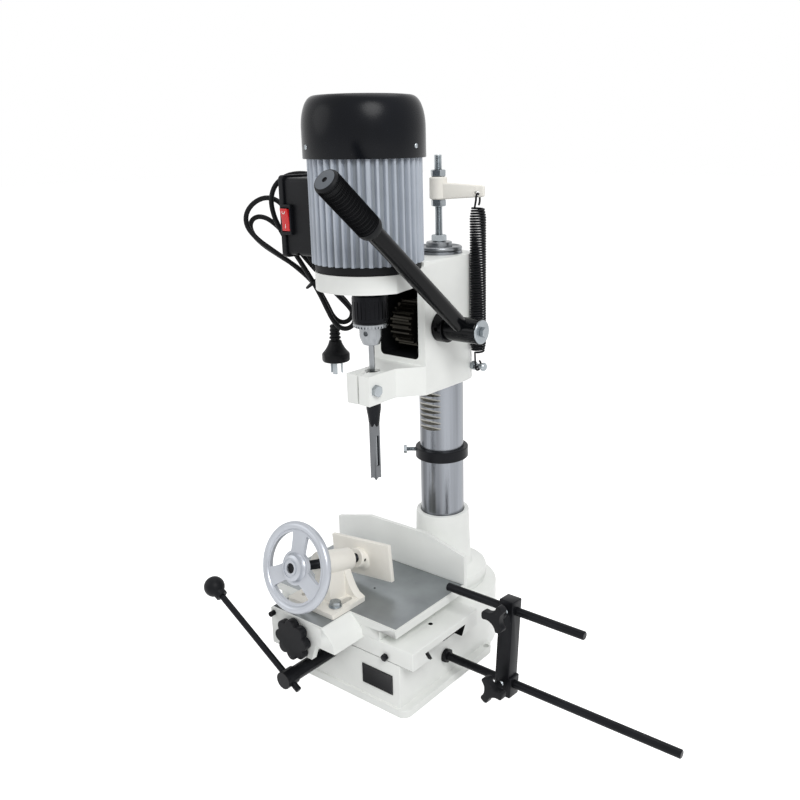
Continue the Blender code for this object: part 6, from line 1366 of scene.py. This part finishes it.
class MORTISER_OT_switch(bpy.types.Operator):
    """Switch box with its lid, bezel and marked rocker"""

    bl_idname = "mortiser.switch"
    bl_label = "Switch box"

    def execute(self, context):
        lid_joint = (-0.1052, -0.1046)
        box = plate("switch_housing", rounded((-0.166, 0.556), (-0.104, 0.648), 5 * MM), "X", -0.106, -0.062)
        lid = plate("lid", rounded((-0.169, 0.553), (-0.101, 0.651), 5.5 * MM), "X", -0.113, -0.105)
        softened(lid, 1.2 * MM, 3)
        seam = block("seam", lid_joint, (-0.2, 0), (0.5, 0.7))
        carved(seam, plate("kept", rounded((-0.1652, 0.5568), (-0.1048, 0.6472), 5 * MM), "X", -0.11, -0.10))
        fused(box, lid)
        carved(box, seam, block("hollow", (-0.110, -0.050), (-0.163, -0.107), (0.559, 0.645)))
        bezel = block("bezel", (-0.109, -0.092), (-0.1715, -0.1657), (0.581, 0.617))
        gland = round_bar("gland", 6.5 * MM, -1.5 * MM, 9 * MM, (-0.088, -0.104, 0.636), Y_AXIS, 0.8 * MM, 48)
        fused(box, softened(bezel, 0.7 * MM, 3), gland)
        opening = block("opening", (-0.1070, -0.0940), (-0.176, -0.159), (0.5846, 0.6134))
        notch = bore(5.5 * MM, -0.18, -0.160, (-0.0885, 0, 0.5545), Y_AXIS, 32)
        side = bore(6.5 * MM, -0.12, -0.108, (0, -0.138, 0.5525), X_AXIS, 32)
        motor_side = bore(0.0666, 0.54, 0.67, SPINDLE, steps=96)
        carved(box, opening, notch, side, motor_side)
        finish(box, "moulded_black", "head", "switch_box")

        outline = [(-0.1750, 0.6125), (-0.1738, 0.6060), (-0.1724, 0.5990), (-0.1719, 0.5855)]
        outline += [(-0.1670, 0.5875), (-0.1670, 0.6105)]
        rocker = plate("rocker_cap", outline, "X", -0.1067, -0.0943)
        finish(softened(rocker, 0.5 * MM, 3, 20), "red_abs", "rocker", "rocker_switch", angle=50)
        ring_mark = pipe("off_mark", 2.6 * MM, 1.9 * MM, 0, 0.25 * MM, steps=40)
        placed(ring_mark, (-0.1005, -0.17425, 0.6085), Vector((0, -0.985, 0.17)))
        bar_mark = block("on_mark", (-0.4 * MM, 0.4 * MM), (-2.4 * MM, 2.4 * MM), (0, 0.25 * MM))
        placed(bar_mark, (-0.1005, -0.17205, 0.5912), Vector((0, -0.999, 0.03)))
        finish(gathered("rocker_marks", [ring_mark, bar_mark]), "white_ink", "rocker")
        return {"FINISHED"}


class MORTISER_OT_lever(bpy.types.Operator):
    """Feed lever with its dimpled grip, its hub and the pinion that it turns"""

    bl_idname = "mortiser.lever"
    bl_label = "Feed lever"

    def execute(self, context):
        root = LEVER_AXIS + X_AXIS * ARM_X
        hub = round_bar("lever_hub", 15.5 * MM, 0.0573, 0.104, LEVER_AXIS, X_AXIS, MM, 64)
        arm = round_bar("arm", 10.2 * MM, 11 * MM, 0.2912, root, ARM_DIRECTION, 0, 64)
        fused(hub, arm)
        socket = bore(9.8 * MM, 0.050, 0.0998, LEVER_AXIS, X_AXIS, 48)
        hole = bore(3.3 * MM, 0.050, 0.110, LEVER_AXIS, X_AXIS, 32)
        finish(carved(hub, socket, hole), "gloss_black", "pull_lever", "lever_arm", angle=40)
        self.grip(context, root)
        collar = pipe("collar_ring", 19.0 * MM, 9.8 * MM, 0.0423, 0.057, LEVER_AXIS, X_AXIS, 0.8 * MM, 72)
        screw = bore(2.4 * MM, 12 * MM, 21 * MM, LEVER_AXIS + X_AXIS * 0.0497, -Y_AXIS, 32)
        finish(carved(collar, screw), "gloss_black", "pull_lever", "shaft_collar")
        washer = pipe("end_disc", 14.7 * MM, 3.3 * MM, 0.1043, 0.1065, LEVER_AXIS, X_AXIS, 0.5 * MM, 72)
        finish(washer, "zinc_plate", "pull_lever", "end_washer")
        seat = LEVER_AXIS + X_AXIS * 0.1068
        bolt("end_hex", "pull_lever", "end_bolt", 3 * MM, 11 * MM, 0, seat, X_AXIS, -0.0185)
        dressed("pinion_shaft", "greased_steel")
        return {"FINISHED"}

    def grip(self, context, root):
        """A moulded grip with columns of dimples pressed into its outer side."""
        rows = context.scene.mortiser_sizes.grip_rows
        radius, first_row, length = 14.5, 219, 66.0
        pitch = length / rows
        land_share = 0.62
        tall = pitch * land_share
        outside = [(10.9, 209), (12.6, 209.6), (14.0, 212.6), (radius, 216)]
        for i in range(rows):
            outside += [(radius, first_row + pitch * i), (radius, first_row + pitch * (i + land_share))]
        outside += [(radius, 289.5), (14.1, 292.6), (12.9, 294.8), (11.6, 295.5), (3.0, 295.5), (2.6, 294.2)]
        outside += [(0, 294.2), (0, 291.6), (10.5, 291.6), (10.5, 209)]
        grip = turned("dimpled_grip", in_mm(outside), steps=40)

        def dimple(face):
            if abs(face.normal.z) > 0.2 or face.center.xy.length < (radius - 0.3) * MM:
                return False
            heights = [grip.data.vertices[v].co.z for v in face.vertices]
            step = round(math.degrees(math.atan2(face.center.y, face.center.x)) / 9 - 0.5)
            fits = abs(max(heights) - min(heights) - tall * MM) < 0.1 * MM
            return fits and step % 2 == 0 and -0.35 < face.normal.x

        # Painted highlight: the grip's end face is drawn lighter grey where the light falls on it
        def end(face):
            return face.normal.dot(ARM_DIRECTION) > 0.9 and (face.center - root).dot(ARM_DIRECTION) > 0.2948

        edit(grip, dimple)
        bpy.ops.mesh.inset(thickness=0.12 * MM, depth=-0.9 * MM, use_individual=True)
        pick(grip)
        finish(placed(grip, root, ARM_DIRECTION), "grip_rubber", "pull_lever", "lever_grip")
        painted(grip, "scuffed_rubber", end)


class MORTISER_OT_travel(bpy.types.Operator):
    """Cross travel's shaft with its rod and ball, and the table feed's star knob"""

    bl_idname = "mortiser.travel"
    bl_label = "Travel handle and feed knob"

    def execute(self, context):
        dressed("travel_shaft", "black_oxide")
        rod_end = 0.149
        rod = round_bar("travel_rod", 4 * MM, -0.021, rod_end, TRAVEL_HUB, TRAVEL_DIRECTION, 0.8 * MM, 40)
        finish(rod, "black_oxide", "travel_handle", "travel_lever")
        self.ball(rod_end)
        self.star()
        return {"FINISHED"}

    def ball(self, rod_end):
        """The round grip and its short neck, on the end of the travel rod."""
        radius = 13.4 * MM
        centre = rod_end + radius - 6 * MM
        neck = centre - 17.4 * MM
        outline = [(4.3 * MM, neck), (7.2 * MM, neck), (7.8 * MM, neck + 0.6 * MM)]
        outline.append((7.8 * MM, centre - 11.4 * MM))
        outline += [(radius * a, centre + radius * b) for a, b in arc((0, 0), 1, -52, 90, 26)]
        outline[-1] = (0, centre + radius)
        outline += [(0, rod_end + 0.3 * MM), (4.3 * MM, rod_end + 0.3 * MM)]
        ball = turned("ball_grip", outline, TRAVEL_HUB, TRAVEL_DIRECTION, 64)
        finish(ball, "moulded_black", "travel_handle", "ball_knob")

    def star(self):
        """The feed screw's knob: eight square lobes before a thin flange."""
        radius, lobes, steps = 27.5 * MM, 8, 160
        wave = []
        for i in range(steps):
            turn = math.tau * i / steps
            share = 0.80 + 0.20 * (0.5 + 0.5 * math.cos(lobes * turn)) ** 0.45
            wave.append(polar(radius * share, turn))
        knob = plate("star_knob", wave, "Z", -0.2622, -0.2525)
        softened(knob, 1.4 * MM, 4, 50)
        flange = in_mm([(16.5, -252.8), (16.5, -251.8), (15, -251.4), (15, -250.3)])
        fused(knob, turned("flange", core(*flange), steps=64))
        carved(knob, bore(4.5 * MM, -0.2575, -0.24, steps=32))
        finish(placed(knob, FEED_AXIS, Y_AXIS), "moulded_black", "feed", "feed_knob")


class MORTISER_OT_stop(bpy.types.Operator):
    """Length stop's rods, bar and wing knobs"""

    bl_idname = "mortiser.stop"
    bl_label = "Length stop"

    def execute(self, context):
        pivot = Matrix.Translation((STOP_X, STOP_Y, STOP_LOWER_Z))
        lean = pivot @ STOP_LEAN @ pivot.inverted()
        low_place, high_place = (0, STOP_Y, STOP_LOWER_Z), (0, STOP_Y, STOP_UPPER_Z)
        rod = round_bar("stop_rod", STOP_ROD_RADIUS, 0.073, 0.408, low_place, X_AXIS, MM, 48)
        finish(rod, "black_oxide", "stop_rod", "stop_rod_lower")
        nut = hex_head("rod_nut", 17 * MM, 0.0833, 0.0893, STOP_ROD_BORE, chamfer_low=True)
        finish(placed(nut, low_place, X_AXIS), "black_oxide", "base", "rod_lock_nut")
        self.post(lean)
        upper = round_bar("stop_rod_short", STOP_ROD_RADIUS, 0.083, 0.281, high_place, X_AXIS, MM, 48)
        upper.data.transform(lean)
        finish(upper, "black_oxide", "upper_rod", "stop_rod_upper")
        self.knob("lower", STOP_LOWER_Z, 0, lean)
        self.knob("upper", STOP_UPPER_Z, 60, lean)
        return {"FINISHED"}

    def post(self, lean):
        """A square tube open at its foot, with a sleeve there, bored for both rods."""
        bar = block("stop_post", (0.168, 0.188), (-0.117, -0.097), (0.024, 0.150))
        softened(bar, 1.2 * MM, 3)
        carved(bar, block("inside", (0.170, 0.186), (-0.115, -0.099), (0.02, 0.148)))
        sleeve = block("sleeve", (0.168, 0.191), (-0.117, -0.097), (0.0237, 0.050))
        fused(bar, softened(sleeve, 1.2 * MM, 3))
        cutters = []
        for height in (STOP_LOWER_Z, STOP_UPPER_Z):
            cutters.append(bore(STOP_ROD_BORE, 0.16, 0.20, (0, STOP_Y, height), X_AXIS, 40))
            cutters.append(bore(3.3 * MM, -0.014, 0, (STOP_X, STOP_Y, height), Y_AXIS, 32))
        carved(bar, *cutters)
        bar.data.transform(lean)
        finish(bar, "black_oxide", "stop_post", "stop_bar")

    def knob(self, which, height, first, lean):
        """A wing knob of three flat-ended paddles on its threaded stem."""
        node = "wing_knob_" + which
        body = which + "_knob"
        place = (STOP_X, STOP_Y, height)
        wings = []
        for i in range(3):
            for along, across in ((9.5, -4.4), (17.9, -6.0), (17.9, 6.0), (9.5, 4.4)):
                reach = math.hypot(along, across) * MM
                turn = math.radians(first + 120 * i) + math.atan2(across, along)
                wings.append(polar(reach, turn))
            wings.append(polar(7.6 * MM, math.radians(first + 120 * i + 60)))
        head = plate(node + "_head", eased(wings, 3), "Z", 0.026, 0.037)
        softened(head, 1.5 * MM, 4, 50)
        neck = in_mm([(5.4, 15.4), (6.2, 16.2), (6.2, 22.5), (7.4, 26.6)])
        fused(head, turned("neck", core(*neck), steps=48))
        stem = threaded(node + "_stem", 3 * MM, 5.6 * MM, 0.016, MM, 24)
        for piece in (head, stem):
            placed(piece, place, -Y_AXIS)
            piece.data.transform(lean)
        finish(head, "moulded_black", body, node)
        finish(stem, "zinc_plate", body)


# How bright the floor and the world are where they are seen, how much the world lights, where
# the lamps aim, and each lamp's name, place, size and power
FLOOR_GLOW = 0.72
WORLD_SHOWN = 0.60
WORLD_LIGHT = 0.40
LAMP_AIM = Vector((0, -0.1, 0.3))
LAMPS = (
    ("key_lamp", (1.45, -0.95, 1.75), 1.1, 26.0),
    ("fill_lamp", (-1.25, -1.55, 1.15), 1.3, 6.0),
    ("top_lamp", (-0.15, 0.35, 2.2), 1.4, 8.0),
)


class MORTISER_OT_stage(bpy.types.Operator):
    """Pale floor, soft lamps, plain world and the camera at the photograph's angle"""

    bl_idname = "mortiser.stage"
    bl_label = "Stage and camera"

    def execute(self, context):
        scene = context.scene
        scene.view_settings.view_transform = "Standard"
        self.floor()
        self.world(scene)
        for lamp in LAMPS:
            self.lamp(*lamp)
        self.camera(scene)
        return {"FINISHED"}

    def floor(self):
        """A pale floor that glows a little in the picture, so that it keeps only the shadow."""
        pick(None)
        bpy.ops.mesh.primitive_plane_add(size=30, location=(0, 0, 0))
        floor = named("floor")
        look = bpy.data.materials.new("pale_floor")
        look.use_nodes = True
        tree = look.node_tree
        tree.nodes.remove(tree.nodes["Principled BSDF"])
        diffuse = add_node(tree, "ShaderNodeBsdfDiffuse", {"Color": (*linear("F2F2F2"), 1)})
        glow = add_node(tree, "ShaderNodeEmission", {}, Strength=self.seen(tree, FLOOR_GLOW))
        both = add_node(tree, "ShaderNodeAddShader", {})
        tree.links.new(diffuse.outputs["BSDF"], both.inputs[0])
        tree.links.new(glow.outputs["Emission"], both.inputs[1])
        tree.links.new(both.outputs["Shader"], tree.nodes["Material Output"].inputs["Surface"])
        floor.data.materials.append(look)

    def reckoned(self, tree, operation, first, second):
        """The output of a sum or a product of an output and another output or number."""
        reckoner = add_node(tree, "ShaderNodeMath", {"operation": operation})
        tree.links.new(first, reckoner.inputs[0])
        if isinstance(second, float):
            reckoner.inputs[1].default_value = second
        else:
            tree.links.new(second, reckoner.inputs[1])
        return reckoner.outputs["Value"]

    def seen(self, tree, strength):
        """A strength for the rays that show the background: seen, mirrored or let through."""
        path = add_node(tree, "ShaderNodeLightPath", {})
        shown = self.reckoned(tree, "ADD", path.outputs["Is Camera Ray"], path.outputs["Is Glossy Ray"])
        shown = self.reckoned(tree, "ADD", shown, path.outputs["Is Transmission Ray"])
        shown = self.reckoned(tree, "MINIMUM", shown, 1.0)
        return self.reckoned(tree, "MULTIPLY", shown, strength)

    def world(self, scene):
        """An even white world, brighter where it is seen than where it lights."""
        world = bpy.data.worlds.new("plain_world")
        world.use_nodes = True
        tree = world.node_tree
        background = tree.nodes["Background"]
        background.inputs["Color"].default_value = (1, 1, 1, 1)
        strength = self.reckoned(tree, "ADD", self.seen(tree, WORLD_SHOWN), WORLD_LIGHT)
        tree.links.new(strength, background.inputs["Strength"])
        scene.world = world

    def lamp(self, name, place, size, power):
        pick(None)
        bpy.ops.object.light_add(type="AREA", location=place)
        lamp = bpy.context.object
        lamp.name = name
        lamp.data.shape = "DISK"
        lamp.data.size = size
        lamp.data.energy = power
        aim = LAMP_AIM - Vector(place)
        lamp.rotation_euler = aim.to_track_quat("-Z", "Y").to_euler()

    def camera(self, scene):
        """A camera fitted to the photograph's straight edges."""
        place = (0.6961, -0.9023, 0.688)
        dip = math.radians(15.93)
        roll = math.radians(-0.82)
        focal_pixels = 872.05
        centre_x, centre_y = 438.87, 389.58
        sensor_width = 36
        right = heading(PHOTO_HEADING)
        ahead = Vector((-right.y * math.cos(dip), right.x * math.cos(dip), -math.sin(dip)))
        up = right.cross(ahead)
        x_axis = right * math.cos(roll) + up * math.sin(roll)
        y_axis = up * math.cos(roll) - right * math.sin(roll)
        bpy.ops.object.camera_add()
        camera = bpy.context.object
        camera.name = "photo_camera"
        turn = Matrix((x_axis, y_axis, -ahead)).transposed().to_4x4()
        camera.matrix_world = Matrix.Translation(place) @ turn
        camera.data.sensor_width = sensor_width
        camera.data.lens = focal_pixels * sensor_width / PHOTO_SIDE
        camera.data.shift_x = (PHOTO_SIDE / 2 - centre_x) / PHOTO_SIDE
        camera.data.shift_y = (centre_y - PHOTO_SIDE / 2) / PHOTO_SIDE
        camera.data.clip_start = 0.01
        scene.camera = camera


OPERATORS = (
    MORTISER_OT_base,
    MORTISER_OT_slides,
    MORTISER_OT_clamp,
    MORTISER_OT_column,
    MORTISER_OT_head,
    MORTISER_OT_spindle,
    MORTISER_OT_motor,
    MORTISER_OT_switch,
    MORTISER_OT_lever,
    MORTISER_OT_travel,
    MORTISER_OT_stop,
    MORTISER_OT_spring,
    MORTISER_OT_cord,
    MORTISER_OT_stage,
)


class MORTISER_PT_panel(bpy.types.Panel):
    """The mortiser's sizes, colours and pieces in the sidebar."""

    bl_label = "Mortiser"
    bl_idname = "MORTISER_PT_panel"
    bl_space_type = "VIEW_3D"
    bl_region_type = "UI"
    bl_category = "Mortiser"

    def draw(self, context):
        for group in (context.scene.mortiser_sizes, context.scene.mortiser_colours):
            for name in group.__annotations__:
                self.layout.prop(group, name)
        for kind in OPERATORS:
            self.layout.operator(kind.bl_idname)


CLASSES = (MortiserSizes, MortiserColours, *OPERATORS, MORTISER_PT_panel)


def register():
    for kind in CLASSES:
        bpy.utils.register_class(kind)
    bpy.types.Scene.mortiser_sizes = bpy.props.PointerProperty(type=MortiserSizes)
    bpy.types.Scene.mortiser_colours = bpy.props.PointerProperty(type=MortiserColours)


def unregister():
    del bpy.types.Scene.mortiser_colours
    del bpy.types.Scene.mortiser_sizes
    for kind in reversed(CLASSES):
        bpy.utils.unregister_class(kind)


def main():
    register()
    for kind in OPERATORS:
        getattr(bpy.ops.mortiser, kind.bl_idname.split(".")[1])()


if __name__ == "__main__":
    main()
